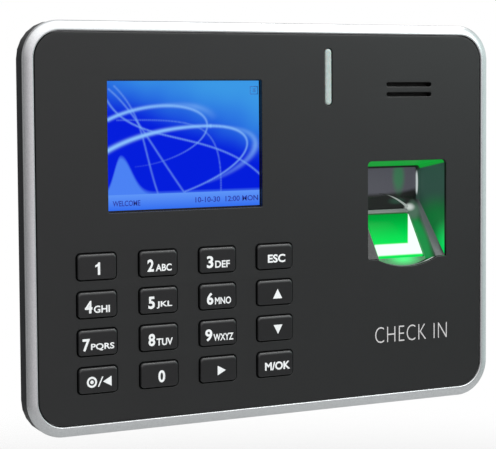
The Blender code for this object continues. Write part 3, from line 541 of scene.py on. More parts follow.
def ring_depth(inset):
    """Depth of the ring's face at a distance from its outer edge. From 0.3 mm proud at the inner edge it
    falls by 0.35 mm times the way out plus 0.95 mm times its square. A quarter ellipse at each end, 0.6 mm
    wide at the groove and 0.4 mm wide at the side, turns the face inward and outward."""
    way_out = np.clip(1 - inset / RING_W, 0, 1)
    near_side = np.clip(1 - inset / SIDE_ROLL, 0, 1)
    near_groove = np.clip(1 - (RING_W - inset) / GROOVE_ROLL, 0, 1)
    rolls = 0.4 * (1 - np.sqrt(1 - near_side ** 2)) + 0.45 * (1 - np.sqrt(1 - near_groove ** 2))
    return -0.3 + 0.35 * way_out + 0.95 * way_out ** 2 + rolls


quarter = np.cos(np.linspace(0, math.pi / 2, 7))
ring_inset = np.concatenate([SIDE_ROLL * (1 - quarter), np.linspace(0.55, 2.85, 14),
                             RING_W - GROOVE_ROLL * quarter])
ring_profile = [(inset, ring_depth(inset)) for inset in ring_inset]
# then down into the groove, under the panel's edge, and back out to the side
ring_profile += [(RING_W, 2.8), (6.0, 2.8), (6.0, 4.5), (2.8, 4.5), (2.8, 1.5), (0.0, 1.5)]
ring = lofted([(rounded_rect(CASE_W - 2 * inset, CASE_H - 2 * inset, CASE_R - inset, 22), depth)
               for inset, depth in ring_profile], closed=True)
make_piece("silver_ring", ring, silver_paint, "terminal", ("bezel_ring",), crease=40.0)
print("ring:", len(ring[1]), "faces")

# %% [markdown]
# ## The keys
#
# Each key is a cap with a rolled edge, on a flange that stops it from falling out, and a short foot that
# presses the dome. The roll is widest along the top, where it catches the light from above, and that is
# what makes the keys stand out from the panel.

# %% Key caps
KEY_W, KEY_H, KEY_R = 14.1, 8.7, 1.3
FLANGE = rounded_rect(15.6, 10.4, 1.0, 7)
FOOT = rounded_rect(3.6, 3.6, 1.6, 7)
PROUD = 0.7             # mm above the panel
ROLL_SIDE, ROLL_TOP, ROLL_DEEP = 0.45, 1.15, 0.75
# the rolled edge is a quarter ellipse: how far in it is at the sides, at the top, and its depth
roll_turn = np.radians(np.linspace(90, 0, 9))
ROLL_EDGE = np.column_stack([ROLL_SIDE * (1 - np.cos(roll_turn)), ROLL_TOP * (1 - np.cos(roll_turn)),
                             ROLL_DEEP * (1 - np.sin(roll_turn)) - PROUD])


def key_cap(x, z):
    """Outlines that widen down the rolled edge, more at the top than elsewhere, then the straight cap, the
    flange and the foot."""
    sections = [(rounded_rect(KEY_W - 2 * side, KEY_H - side - top, KEY_R - 0.6 * side, 7)
                 + [0.0, (side - top) / 2], depth) for side, top, depth in ROLL_EDGE]
    sections += [(rounded_rect(KEY_W, KEY_H, KEY_R, 7), 2.8), (FLANGE, 2.8), (FLANGE, 3.7), (FOOT, 3.7),
                 (FOOT, 6.2)]
    return lofted(sections, x, z)


for name, (x, z) in KEY_AT.items():
    make_piece(name.replace("key_", "cap_"), key_cap(x, z), key_abs, name, (name,), crease=60.0)
print(len(KEY_AT), "keys")

# %% [markdown]
# ## The legends
#
# The legends are pad-printed in white, and the words on the panel in a paler grey. Text comes from
# Blender's own font, made a little bolder or thinner and turned into a mesh before it is put in place; the
# arrows and the power mark are plain outlines. A print is a film of ink, so each legend is a sheet just
# above its cap.

# %% Printed text and marks
INK = 0.02              # mm above the surface
CAPITALS = 0.73         # height of the font's capitals as a share of its size


def text_shape(words, height, bold=0.0, spacing=1.0):
    """Text as flat points and faces, with capitals as tall as height and its left foot at the origin."""
    curve = bpy.data.curves.new("words", "FONT")
    curve.body, curve.size = words, height / CAPITALS
    curve.offset, curve.space_character = bold, spacing
    curve.resolution_u = 4
    points, faces = flattened(curve)
    return points[:, :2], faces


def fitted(flat, left, right, low, high=None):
    """Move and stretch flat points so that they run from left to right and stand on low, up to high."""
    points, faces = flat
    smallest, largest = points.min(0), points.max(0)
    wide = (right - left) / (largest[0] - smallest[0])
    tall = wide if high is None else (high - low) / (largest[1] - smallest[1])
    return (points - smallest) * [wide, tall] + [left, low], faces


def polygon(*corners):
    """One flat face."""
    return np.array(corners, float), [list(range(len(corners)))]


def annulus(x, z, outer, inner, steps=28):
    """A flat ring: two circles with quads between them."""
    points = np.concatenate([circle(outer, steps), circle(inner, steps)]) + [x, z]
    k = np.arange(steps)
    after = (k + 1) % steps
    return points, np.stack([k, after, after + steps, k + steps], axis=1).tolist()


def face_front(bm):
    """Turn every face of a flat mesh towards -Y."""
    for face in bm.faces:
        face.normal_update()
        if face.normal.y > 0:
            face.normal_flip()


def printed(name, flats, x, z, depth, mat, body, slot):
    """Flat (points, faces) pairs as one sheet of ink at a depth, facing the front."""
    points, faces = merged(flats)
    mesh = new_mesh(name, at_depth(points, depth, x, z), faces)
    rework(mesh, face_front, DOUBLE / 2)
    riding(name, mesh, mat, body)


print("text helpers ready")

# %% Legends, key by key
# places are in millimetres from the middle of the key: low and high for all digits, then, key by key, the
# left and right ends of the digit and of its letters
DIGIT_LOW, DIGIT_HIGH, LETTER_HIGH = -2.75, 1.45, -0.3
WORD_LOW, WORD_HIGH = -2.15, 0.75
PAIRS = {"key_2": ("2", "ABC", -4.2, -1.8, -1.15, 4.85), "key_3": ("3", "DEF", -4.3, -1.8, -1.1, 4.6),
         "key_4": ("4", "GHI", -4.6, -1.9, -1.4, 4.4), "key_5": ("5", "JKL", -4.0, -1.6, -0.95, 4.9),
         "key_6": ("6", "MNO", -4.4, -1.9, -1.3, 5.0), "key_7": ("7", "PQRS", -5.6, -2.9, -2.6, 5.85),
         "key_8": ("8", "TUV", -4.1, -1.6, -1.1, 5.0), "key_9": ("9", "WXYZ", -5.15, -2.4, -2.0, 5.8)}
LEGENDS = {name: [fitted(text_shape(digit, 4.0, 0.17), a, b, DIGIT_LOW, DIGIT_HIGH),
                  fitted(text_shape(letters, 2.4, 0.08), c, d, DIGIT_LOW, LETTER_HIGH)]
           for name, (digit, letters, a, b, c, d) in PAIRS.items()}
LEGENDS["key_1"] = [polygon((0.2, DIGIT_LOW), (1.05, DIGIT_LOW), (1.05, DIGIT_HIGH), (0.45, DIGIT_HIGH),
                            (0.05, 0.85), (-0.7, 0.5), (-0.7, -0.2), (0.2, 0.15))]
LEGENDS["key_0"] = [fitted(text_shape("0", 4.0, 0.16), -0.55, 2.0, DIGIT_LOW, DIGIT_HIGH)]
LEGENDS["key_escape"] = [fitted(text_shape("ESC", 2.8, 0.12), -2.9, 4.1, WORD_LOW, WORD_HIGH)]
LEGENDS["key_menu_ok"] = [fitted(text_shape("M/OK", 2.8, 0.12), -4.3, 5.8, WORD_LOW, WORD_HIGH)]
LEGENDS["key_up"] = [polygon((-0.9, -2.2), (2.75, -2.2), (0.93, 1.2))]
LEGENDS["key_down"] = [polygon((-0.75, 1.15), (2.8, 1.15), (1.0, -2.1))]
LEGENDS["key_right"] = [polygon((-0.45, 1.2), (-0.45, -2.15), (2.7, -0.5))]
LEGENDS["key_power_left"] = [annulus(-2.4, -0.5, 1.85, 1.15), annulus(-2.4, -0.5, 0.62, 0.05),
                             polygon((-0.35, -2.2), (0.15, -2.2), (1.75, 1.1), (1.25, 1.1)),
                             polygon((1.6, -0.55), (4.7, -2.25), (4.7, 1.15))]
PANEL_WORDS_AT = (42.0, 73.5, -46.6, -40.8)     # left, right, low and high, from the terminal's middle
words = fitted(text_shape("CHECK IN", 6.0, -0.14, 1.1), *PANEL_WORDS_AT)
printed("panel_words", [words], 0.0, 0.0, -INK, grey_ink, "terminal", "white_acetal")
for name, flats in LEGENDS.items():
    printed(name.replace("key_", "legend_"), flats, *KEY_AT[name], -PROUD - INK, white_ink, name,
            "white_acetal")
print(len(LEGENDS), "legends")

# %% [markdown]
# ## The display
#
# A lit liquid-crystal display behind a thin tinned frame. Its picture is light, so the material gives
# light itself: a blue field that pales towards the upper right, a soft glow low on the left, and a status
# line along the bottom. Fine light curves cross the field. The picture is a fine grid, and numpy works out
# how far each of its points lies from each curve: that brightness is kept as an attribute named glow. The
# low glow is an attribute too, named hill.

# %% The display's material
PICTURE_W, PICTURE_H = 57.9, 43.4
STATUS_LINE = -16.3     # height of the status line's upper edge, from the picture's centre

lit_picture, tree, shader, place = new_material("lit_display_picture", Base_Color=BLACK, Roughness=0.25,
                                                Emission_Strength=1.0, Specular_IOR_Level=0.03)
local = add(tree, "Mapping", {"vector_type": "TEXTURE"}, {
    "Vector": place, "Location": tuple((SCREEN * MM).tolist()), "Scale": (MM, MM, MM)})
x = add(tree, "SeparateXYZ", {}, {"Vector": local})
z = x.node.outputs["Z"]
rise = add(tree, "Math", {"operation": "MULTIPLY"}, {0: z, 1: 1.1})
rise = add(tree, "Math", {"operation": "MULTIPLY_ADD"}, {0: x, 1: 0.32, 2: rise})
drift = add(tree, "TexNoise", {}, {"Vector": local, "Scale": 0.06, "Detail": 1.0})
rise = add(tree, "Math", {"operation": "MULTIPLY_ADD"}, {0: drift, 1: 9.0, 2: rise})
pale = add(tree, "MapRange", SMOOTH, {"Value": rise, "From Min": 5.0, "From Max": 33.0})
field = add(tree, "Mix", RGBA, {0: pale, 6: "#001cdc", 7: "#3a98e6"}, 2)
for attribute, colour in (("hill", "#4b82f4"), ("glow", "#8cc3ff")):
    share = add(tree, "Attribute", {"attribute_name": attribute}, {}, "Fac")
    field = add(tree, "Mix", RGBA, {0: share, 6: field, 7: colour}, 2)
bar_rise = add(tree, "MapRange", {}, {"Value": z, "From Min": STATUS_LINE - 5.5, "From Max": STATUS_LINE})
bar = add(tree, "Mix", RGBA, {0: bar_rise, 6: "#2f6cf0", 7: "#5f96f8"}, 2)
below = add(tree, "Math", {"operation": "LESS_THAN"}, {0: z, 1: STATUS_LINE})
feed(tree, shader, {"Emission Color": add(tree, "Mix", RGBA, {0: below, 6: field, 7: bar}, 2)})
print(lit_picture.name)

# %% Light curves on the display


def arc(x, z, a, b, tilt, start, end, steps=150):
    """Points of an ellipse about (x, z): a cos t along the tilted axis plus b sin t across it."""
    t, tilt = np.radians(np.linspace(start, end, steps)), math.radians(tilt)
    along, across = a * np.cos(t), b * np.sin(t)
    return np.column_stack([x + along * math.cos(tilt) - across * math.sin(tilt),
                            z + along * math.sin(tilt) + across * math.cos(tilt)])


def sweep(*corners, steps=150):
    """A cubic Bezier curve: each of its four points weighted by a Bernstein polynomial."""
    t = np.linspace(0, 1, steps)[:, None]
    p0, p1, p2, p3 = np.array(corners)
    return (1 - t) ** 3 * p0 + 3 * (1 - t) ** 2 * t * p1 + 3 * (1 - t) * t ** 2 * p2 + t ** 3 * p3


# each curve: its path, then the width in mm and the brightness at even steps along it
CURVES = ((arc(-14.5, 3.0, 23.5, 9.6, 10, 122, -104), (1.0, 0.9, 0.6, 0.4, 0.3), (1.0, 0.85, 0.6, 0.4, 0.1)),
          (arc(-14.0, 3.2, 26.5, 9.9, 9, 80, 5), (0.6, 1.6, 2.4), (0.0, 0.35, 0.0)),
          (sweep((-29.2, -1.9), (-19.0, 3.6), (-4.0, 6.4), (10.0, 6.2)), (1.3, 1.1, 0.8), (1.0, 1.0, 0.9)),
          (sweep((10.0, 6.2), (31.6, 6.0), (28.8, -7.0), (0.2, -16.0)), (0.8, 0.55, 0.45), (0.9, 0.6, 0.55)),
          (sweep((12.0, 6.0), (34.6, 5.6), (31.5, -6.0), (9.0, -13.0)), (0.6, 2.0, 0.8), (0.1, 0.5, 0.1)),
          (sweep((-29.0, 16.0), (-20.0, -1.0), (10.0, 6.0), (29.5, -11.2)), (0.45,), (0.6,)),
          (sweep((-26.0, 20.0), (-15.0, 10.0), (-16.0, 0.0), (-10.2, -16.5)), (0.45,), (0.4,)),
          (sweep((-28.0, 19.0), (-19.0, 12.0), (-14.0, 2.0), (-0.2, -16.5)), (0.45,), (0.45,)),
          (sweep((-25.0, 8.6), (6.0, 8.6), (14.5, 8.0), (13.8, -16.5)), (0.4,), (0.3,)))


def glow_at(spots):
    """Brightness at each spot. Every curve adds its own at its nearest point, times a bell curve of the
    distance over the width, and what is already bright takes less: 1 - (1 - a)(1 - b)."""
    dark = np.ones(len(spots))
    for path, widths, levels in CURVES:
        apart = np.hypot(spots[:, None, 0] - path[None, :, 0], spots[:, None, 1] - path[None, :, 1])
        nearest = apart.argmin(1)
        share = nearest / (len(path) - 1)
        width = 0.6 * np.interp(share, np.linspace(0, 1, len(widths)), widths)
        level = np.interp(share, np.linspace(0, 1, len(levels)), levels)
        dark *= 1 - level * np.exp(-(apart.min(1) / width) ** 2)
    return 1 - dark


def hill_at(spots):
    """A bell-shaped hill over the status line, full under its outline and gone within 1.6 mm. The outline
    rises 12.5 mm times exp(-(distance from its peak over its width) squared), and is steeper on the left."""
    away = spots[:, 0] + 23.8
    outline = STATUS_LINE + 12.5 * np.exp(-(np.abs(away) / np.where(away < 0, 3.4, 5.4)) ** 2)
    return np.clip((outline - spots[:, 1]) / 1.6 + 0.5, 0, 1)


print(len(CURVES), "light curves")

# %% The picture's grid
columns, rows = 194, 146
PICTURE_RISE = 0.15     # mm, how much higher the picture sits than the glass behind it
grid_x, grid_z = np.meshgrid(np.linspace(-0.5, 0.5, columns) * PICTURE_W,
                             np.linspace(-0.5, 0.5, rows) * PICTURE_H)
spots = np.column_stack([grid_x.ravel(), grid_z.ravel()])
picture_depth = box_mm("display_glass")[0][1] - FACE - 0.05
corner = (np.arange(rows - 1)[:, None] * columns + np.arange(columns - 1)[None, :]).reshape(-1, 1)
cells = (corner + np.array([[0, 1, columns + 1, columns]])).tolist()
points = at_depth(spots, picture_depth, SCREEN[0], SCREEN[2] + PICTURE_RISE)
mesh = new_mesh("display_picture", points, cells)
for attribute, values in (("glow", glow_at(spots)), ("hill", hill_at(spots))):
    mesh.attributes.new(attribute, "FLOAT", "POINT").data.foreach_set("value", values.astype(np.float32))
riding("display_picture", mesh, lit_picture, "terminal")
print("picture:", len(cells), "cells")

# %% The slab behind the picture, and the words on it
display_glass = moulded("dark_display_glass", "#050608", "#0a0c10", 1.0, 0.0005, (0.05, 0.1), IOR=1.5)
screen_ink = moulded("dark_display_text", "#12309c", "#1a3ab4", 0.4, 0.001, (0.3, 0.35), 3.0)
icon_ink = moulded("pale_display_mark", "#2a74c4", "#2f7ccc", 0.4, 0.001, (0.3, 0.35), 3.0)
SLAB = rounded_rect(67.4, 48.2, 0.3, 3)
slab = lofted([(SLAB, picture_depth + depth) for depth in (0.05, 1.2)], SCREEN[0], SCREEN[2])
make_piece("display_slab", slab, display_glass, "terminal", ("display_glass",), edge=0.1)
words = [fitted(text_shape("WELCOME", 1.8, 0.05), -27.0, -16.8, -20.3, -18.4),
         fitted(text_shape("10-10-30  12:00 MON", 1.8, 0.05), 3.9, 28.4, -20.0, -18.1)]
on_picture = (SCREEN[0], SCREEN[2] + PICTURE_RISE, picture_depth - INK)
printed("display_words", words, *on_picture, screen_ink, "terminal", "display")
frame_mark = [polygon((a, b), (c, b), (c, d), (a, d)) for a, b, c, d in (
    (25.4, 16.9, 28.6, 17.2), (25.4, 19.5, 28.6, 19.8), (25.4, 17.2, 25.7, 19.5), (28.3, 17.2, 28.6, 19.5),
    (26.6, 17.7, 27.0, 19.0), (27.2, 17.7, 27.6, 19.0))]
printed("display_mark", frame_mark, *on_picture, icon_ink, "terminal", "display")
print("display ready")

# %% [markdown]
# ## The status light
#
# A milky acrylic bar carries the light of a diode behind it. Its end is slightly domed, so it catches a
# little of the room, and it glows evenly.

# %% Status light
milky_acrylic, tree, shader, place = new_material("milky_acrylic_bar", Roughness=0.3, IOR=1.49,
                                                  Emission_Strength=0.12, Subsurface_Weight=0.2,
                                                  Subsurface_Scale=0.002)
haze = add(tree, "TexNoise", {}, {"Vector": place, "Scale": 1 / (1.5 * MM), "Detail": 2.0})
haze_tone = add(tree, "Mix", RGBA, {0: haze, 6: "#9aa8a4", 7: "#b6c4c0"}, 2)
feed(tree, shader, {"Base Color": haze_tone, "Emission Color": haze_tone,
                    "Normal": add(tree, "Bump", {}, {"Height": haze, "Distance": 0.005 * MM})})
bar_w, _, bar_h = BAR_HIGH - BAR_LOW
visible_w, visible_h = 2.6, 19.9
# the visible end, from its domed middle to its straight sides, and then the wider part behind the panel
shown = rounded_rect(visible_w, visible_h, visible_w / 2 - 0.005, 10)
hidden = rounded_rect(bar_w, bar_h, bar_w / 2 - 0.01, 10)
dome = [(rounded_rect(visible_w - 2 * inset, visible_h - 2 * inset, visible_w / 2 - inset - 0.005, 10), depth)
        for inset, depth in ((0.9, -0.02), (0.5, 0.02), (0.2, 0.12), (0.05, 0.25), (0.0, 0.45))]
dome += [(shown, 2.8), (hidden, 2.8), (hidden, 5)]
make_piece("status_light", lofted(dome, BAR[0], BAR[2]), milky_acrylic, "terminal",
           ("status_light_pipe",), crease=50.0)
print("status light ready")

# %% [markdown]
# ## The fingerprint reader
#
# The recess is a short tunnel. Its bottom is a carrier tilted back by a third of a right angle, which holds
# a glass platen and guides the fingertip to it; above it stands an upright back wall. Green diodes light
# the glass from behind and from its right and lower edges, so it is brightest there: the glass's glow is that
# light painted in, with painted white highlights along those edges. The light falls on the tunnel's own
# walls, which glow where it grazes them; this too is painted, together with painted reflections of the room,
# painted highlights and a painted shadow. The rims of the scoop and of the arch are each a thin bead made
# bright by a painted highlight, and a lip closes the tunnel around the back wall.

# %% Lit platen
TILT = 0.66             # depth gained for each millimetre of height on the platen
LEAN = -math.atan(TILT)
PAINTED_HIGHLIGHT_SLANT = -0.371      # how far the bright strip at the right moves over for each millimetre up the platen
slope = math.hypot(1.0, TILT)
up_slope = np.array((0.0, TILT, 1.0)) / slope
inward = np.array((0.0, 1.0, -TILT)) / slope
foot = np.array((READER_X, FACE + 4.0, -16.0))      # middle of the platen's lower front edge


def on_slope(across, along, below):
    """Points from places on the platen's plane: across it, up along it from its foot, and into it."""
    across, along, below = np.broadcast_arrays(across, along, below)
    return (foot + across[..., None] * np.array((1.0, 0, 0)) + along[..., None] * up_slope
            + below[..., None] * inward)


# The glass's emission is painted light: the diodes' green glow, brightest towards the foot, and painted white
# highlights along its right edge and its lower edge.
lit_glass, tree, shader, place = new_material("green_lit_platen_glass", Base_Color=(0.0, 0.02, 0.005, 1.0),
                                              Roughness=0.12, Emission_Strength=1.15,
                                              Specular_IOR_Level=0.02)
local = add(tree, "Mapping", {"vector_type": "TEXTURE"}, {
    "Vector": place, "Location": tuple((foot * MM).tolist()), "Rotation": (LEAN, 0.0, 0.0),
    "Scale": (MM, MM, MM)})
across = add(tree, "SeparateXYZ", {}, {"Vector": local})
along = across.node.outputs["Z"]
from_right = add(tree, "Math", {"operation": "MULTIPLY_ADD"}, {0: along, 1: PAINTED_HIGHLIGHT_SLANT, 2: across})
# each share of painted light: what it depends on, where it is nothing and where it is full, in millimetres
whole, painted_highlight_right, painted_highlight_low, past_foot = (
    add(tree, "MapRange", SMOOTH, {"Value": value, "From Min": nothing, "From Max": full})
    for value, nothing, full in ((along, 19.0, 3.0), (from_right, 2.4, 3.0), (along, 5.9, 5.2),
                                 (along, 0.5, 1.3)))
body_tone = add(tree, "Mix", RGBA, {0: whole, 6: "#009030", 7: "#00dc50"}, 2)
painted_highlight = add(tree, "Math", {"operation": "MAXIMUM"}, {0: painted_highlight_right, 1: painted_highlight_low})
painted_highlight = add(tree, "Math", {"operation": "MULTIPLY"}, {0: painted_highlight, 1: past_foot})
feed(tree, shader, {"Emission Color": add(tree, "Mix", RGBA, {0: painted_highlight, 6: body_tone, 7: "#eafff2"}, 2)})
print(lit_glass.name)

# %% Platen
PLATEN_W, PLATEN_L = 19.4, 18.3
# its edge is softly ground: how far in each outline is, and how deep
GROUND_EDGE = ((0.5, 0.0), (0.25, 0.03), (0.08, 0.12), (0.0, 0.35), (0.0, 3.0))
outlines = [rounded_rect(PLATEN_W - 2 * inset, PLATEN_L - 2 * inset, 0.6 - inset / 2, 5) + [0, PLATEN_L / 2]
            for inset, _ in GROUND_EDGE]
platen_rings = np.stack([on_slope(*outline.T, depth) for outline, (_, depth) in zip(outlines, GROUND_EDGE)])
make_piece("platen_glass", skin(platen_rings), lit_glass, "terminal", ("platen",),
           crease=50.0)
print("platen", PLATEN_W, "x", PLATEN_L, "mm, tilted", round(-math.degrees(LEAN), 1), "degrees")

# %% Carrier and tunnel


def painted_light_abs(name, glows):
    """The front's black ABS with light and shade painted on it as emission: the platen's green light, painted
    reflections of the room, painted highlights and painted shadow. Each glow has a colour, a middle and a
    reach in millimetres along X, Y and Z, a turn about X, and the share of its reach that is fully lit. From
    there it fades to nothing at its reach. A later glow lies over an earlier one."""
    mat = front_abs.copy()
    mat.name = name
    tree = mat.node_tree
    place = add(tree, "TexCoord", {}, {}, "Object")
    total = BLACK
    for colour, middle, reach, turn, core in glows:
        local = add(tree, "Mapping", {"vector_type": "TEXTURE"}, {
            "Vector": place, "Location": tuple((np.array(middle) * MM).tolist()),
            "Rotation": (turn, 0.0, 0.0), "Scale": tuple((np.array(reach) * MM).tolist())})
        far = add(tree, "VectorMath", {"operation": "LENGTH"}, {0: local}, "Value")
        fall = add(tree, "MapRange", SMOOTH, {"Value": far, "From Min": 1.0, "From Max": core})
        total = add(tree, "Mix", RGBA, {0: fall, 6: total, 7: colour}, 2)
    feed(tree, tree.nodes["Principled BSDF"], {"Emission Color": total, "Emission Strength": 1.0})
    return mat


# The tunnel: the platen's green light painted on its right wall and its ceiling, a painted shadow along the
# back of the ceiling (the near-black glow), and a painted highlight down the right edge of the opening at the
# back.
tunnel_abs = painted_light_abs("black_abs_painted_light_tunnel", (
    ("#2b4a40", (READER_X + 16, FACE + 7, 11.0), (9, 16, 20), 0.0, 0.3),
    ("#076a30", (READER_X + 16, FACE + 4, -3.5), (9, 16, 12), 0.0, 0.2),
    ("#00d45c", (READER_X + 17, FACE + 0, -14.0), (9, 9, 13), 0.0, 0.15),
    ("#04982f", (READER_X, FACE + 7, 18.4), (60, 40, 1.3), -math.atan(DRAFT), 0.6),
    ("#020403", (READER_X, FACE + 14.0, 17.0), (60, 0.6, 3.0), 0.0, 0.6),
    ("#b9c2c2", (READER_X + 13.2, FACE + 13.6, 10.7), (0.6, 4, 5.2), 0.0, 0.6)))
# The carrier: painted room light in grey-violet on the back wall with a painted green reflection band down
# it, the right rail painted lighter where it faces the light above, the platen's green light painted on the
# slopes and the scoop, and a painted white highlight where the arch meets the right slope.
carrier_abs = painted_light_abs("black_abs_painted_light_carrier", (
    ("#474750", (READER_X - 4, FACE + 14.6, 13.9), (30, 1.2, 8.0), 0.0, 0.8),
    ("#2f6a48", (READER_X + 5.6, FACE + 14.6, 13.0), (3.6, 2, 8.0), 0.0, 0.3),
    ("#173c2c", (READER_X + 5.0, FACE + 15.0, 4.0), (5.0, 1.5, 1.8), 0.0, 0.2),
    ("#4d5555", on_slope(14.0, 9.0, -3.1), (3.0, 2.5, 17), LEAN, 0.5),
    ("#078a40", on_slope(10.6, 6.0, -1.2), (2.6, 6, 17), LEAN, 0.35),
    ("#4a6a58", on_slope(11.2, 18.5, -1.2), (2.6, 6, 5), LEAN, 0.3),
    ("#07a348", on_slope(-10.0, 7.0, -1.5), (2.2, 6, 17), LEAN, 0.3),
    ("#068a40", on_slope(0.0, -1.6, -0.5), (12.5, 6, 4.2), LEAN, 0.5),
    ("#00f06c", on_slope(0.5, -0.8, -0.5), (8.0, 6, 3.2), LEAN, 0.1),
    ("#c4ccc8", (READER_X + 10.3, FACE + 14.4, 1.5), (2.4, 3, 1.9), 0.0, 0.2)))
# The beads along the rims: painted highlights, grey along the scoop, white at its right end and grey-white
# along the arch.
painted_highlight_rim_abs = painted_light_abs("black_abs_painted_highlight_rim", (
    ("#5e6a64", (READER_X, FACE + 1.5, -18.0), (14, 5, 5), 0.0, 0.5),
    ("#c0c8c4", (READER_X + 11.5, FACE + 1.5, -17.0), (5, 4, 3), 0.0, 0.3),
    ("#9aa39f", (READER_X + 6.5, FACE + 14.4, 3.5), (9, 4, 5), 0.0, 0.4)))
make_piece("reader_tunnel", tunnel, tunnel_abs, "terminal", crease=30.0)
smooth_copy("reader_carrier", "finger_guide", carrier_abs, "terminal", crease=30.0, edge=0.25)
smooth_copy("reader_strip", "platen_retainer", grey_abs, "terminal", edge=0.15)

# %% Rims of the recess, bright with painted highlights


def bead(path, depth, radii, steps=10):
    """A thin round bead along a path (x, z) at a depth: at each point a circle across the path, made of the
    path's own normal times the cosine and the depth axis times the sine of an even turn."""
    path, radii = np.array(path, float), np.array(radii, float)[:, None, None]
    ahead = np.gradient(path, axis=0)
    ahead /= np.linalg.norm(ahead, axis=1)[:, None]
    turn = np.linspace(0, 2 * np.pi, steps, endpoint=False)[None, :, None]
    middle = at_depth(path, depth)[:, None, :]
    normal = np.column_stack([-ahead[:, 1], np.zeros(len(path)), ahead[:, 0]])[:, None, :]
    return skin(middle + radii * (np.cos(turn) * normal + np.sin(turn) * np.array((0.0, 1.0, 0.0))))


# the scoop's bead starts on its left slope and is thickest at its middle
reach = np.linspace(-0.62, 1.0, 40)
scoop_path = np.column_stack([READER_X + SCOOP_HALF * reach,
                              TUNNEL_LOW + 0.35 - SCOOP_DROP * (1 - reach ** 2)])
scoop_bead = bead(scoop_path, 1.3, 0.1 + 0.12 * np.sin(np.linspace(0.1, 3.0, 40)))
make_piece("scoop_rim", scoop_bead, painted_highlight_rim_abs, "terminal", crease=60.0)
# the arch's bead runs down to the right and thickens on its way
share = np.linspace(0, 1, 24)
arch_path = np.column_stack([READER_X - 3.0 + 12.5 * share, 6.9 - 5.3 * share ** 1.8])
arch_bead = bead(arch_path, 14.6, 0.12 + 0.4 * share ** 2)
make_piece("arch_rim", arch_bead, painted_highlight_rim_abs, "terminal", crease=60.0)
print("reader ready")

# %% [markdown]
# ## The rear, the bracket and what is inside
#
# The rear housing and the bracket are right as measured, so each becomes one smooth skin of the same
# shape. The rest of the frame's nodes keep their own mesh and get the material of what they are.

# %% Rear and bracket
smooth_copy("rear_shell", "rear_housing", rear_abs, "terminal", crease=30.0)
smooth_copy("bracket_plate", "wall_bracket", zinc_sheet, "wall_bracket", crease=30.0)

FINISHES = ((tin_sheet, "display_frame lan_port usb_port"), (white_acrylic, "display_backlight"),
            (amber_film, "display_cable sensor_cable"), (keypad_rubber, "keypad_mat"),
            (board_green, "keypad_board status_board camera_board light_board main_board"),
            (black_cloth, "speaker_cloth"), (zinc_sheet, "speaker"),
            (black_nylon, "sensor_housing sensor_lens battery_holder power_jack"),
            (moulded_epoxy, "processor memory_chip tamper_switch reset_switch"),
            (bright_nickel, "clock_battery"), (green_nylon, "terminal_block"),
            (white_acetal, "tamper_plunger reset_button"),
            (zinc_screw, " ".join(name for name in frame["nodes"] if "screw" in name)))
finish_of = {name: mat for mat, names in FINISHES for name in names.split()}
for name, mat in finish_of.items():
    slots = frame["nodes"][name].data.materials
    slots.clear()
    slots.append(mat)
shown = [name for name, node in frame["nodes"].items() if not node.hide_render]
print("frame nodes left plain:", [name for name in shown if name not in finish_of])

# %% [markdown]
# ## The studio
#
# A pale floor that fades into white, and soft light from all around. The black panel and the silver ring
# mirror whatever is in front of them, so the room is built from a few broad glows: each is brightest in
# one direction and dies away around it as a power of the cosine, which is how a large soft box looks when
# it is a little out of focus. Four area lights stand towards the upper right, close enough that the
# panel is brighter there. What the camera sees behind the terminal is plain white.

# %% World and lights
scene = bpy.context.scene
scene.view_settings.view_transform = "Standard"

world = bpy.data.worlds.new("studio")
scene.world = world
world.use_nodes = True
tree = world.node_tree
background = tree.nodes["Background"]
aim = add(tree, "VectorMath", {"operation": "NORMALIZE"}, {0: add(tree, "TexCoord", {}, {})})

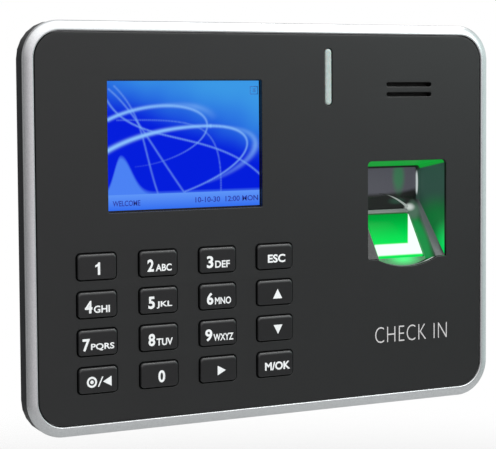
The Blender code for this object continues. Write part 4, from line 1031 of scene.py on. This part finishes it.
# each glow: the direction it comes from, the power of the cosine, its strength and its colour
GLOWS = (((0.0, -1.0, 0.05), 10, 0.85, "#fff4f9"), ((0.35, -0.85, 0.4), 20, 0.45, "#f2ffff"),
         ((1.0, -0.1, 0.1), 8, 1.1, "#eafffb"), ((0.0, -0.7, 0.7), 6, 2.3, "#ffffff"),
         ((0.1, 0.6, 0.8), 6, 1.1, "#ffffff"), ((-0.5, 0.87, -0.05), 12, 0.13, "#ffffff"),
         ((0.6, 0.7, 0.3), 6, 0.7, "#ffffff"), ((-1.0, 0.0, 0.2), 8, 0.6, "#ffffff"))
room = BLACK
for towards, power, strength, colour in GLOWS:
    towards = tuple(Vector(towards).normalized())
    cosine = add(tree, "VectorMath", {"operation": "DOT_PRODUCT"}, {0: aim, 1: towards}, "Value")
    cosine = add(tree, "Math", {"operation": "MAXIMUM"}, {0: cosine, 1: 0.0})
    share = add(tree, "Math", {"operation": "POWER"}, {0: cosine, 1: float(power)})
    tint = tuple(strength * c for c in linear(colour)[:3]) + (1.0,)
    glow = add(tree, "Mix", RGBA, {0: share, 6: BLACK, 7: tint}, 2)
    room = add(tree, "Mix", {**RGBA, "blend_type": "ADD"}, {0: 1.0, 6: room, 7: glow}, 2)
seen = add(tree, "LightPath", {}, {})
feed(tree, background, {"Color": add(tree, "Mix", RGBA, {0: seen, 6: room, 7: "#ffffff"}, 2)})


def soft_panel(name, place, size, power, colour="#ffffff"):
    """An area light of a size in metres, at a place in metres, turned to the terminal's middle."""
    light = bpy.data.lights.new(name, "AREA")
    light.shape, light.size, light.size_y = "RECTANGLE", *size
    light.energy, light.color = power, linear(colour)[:3]
    obj = new_object(name, light)
    obj.location = place
    obj.rotation_euler = (Vector((0, -0.02, 0)) - Vector(place)).to_track_quat("-Z", "Y").to_euler()
    obj.visible_camera = False


soft_panel("right_panel", (0.55, -0.45, 0.25), (0.3, 0.3), 0.85, "#f0fffc")
soft_panel("key_light", (0.36, -0.36, 0.6), (0.5, 0.12), 2.2)
soft_panel("low_right_panel", (0.3, -0.45, 0.2), (0.2, 0.2), 0.08)
soft_panel("high_right_panel", (0.45, -0.55, 0.4), (0.25, 0.25), 0.25)
print(len(GLOWS), "glows and 4 area lights")

# %% Floor
pale_floor, tree, shader, place = new_material("pale_floor", Roughness=0.9)
mottle = add(tree, "TexNoise", {}, {"Vector": place, "Scale": 2.0})
far = add(tree, "VectorMath", {"operation": "LENGTH"}, {0: place}, "Value")
feed(tree, shader, {
    "Base Color": add(tree, "Mix", RGBA, {0: mottle, 6: "#cacaca", 7: "#d2d2d2"}, 2),
    "Alpha": add(tree, "MapRange", SMOOTH, {"Value": far, "From Min": 1.3, "From Max": 0.5})})
HALF, DROP = 2000.0, 300.0      # mm
corners = np.array([(-HALF, -HALF, -DROP), (HALF, -HALF, -DROP), (HALF, HALF, -DROP), (-HALF, HALF, -DROP)])
mesh = new_mesh("floor", corners, [(0, 1, 2, 3)])
mesh.materials.append(pale_floor)
floor = new_object("floor", mesh)
print("studio ready")
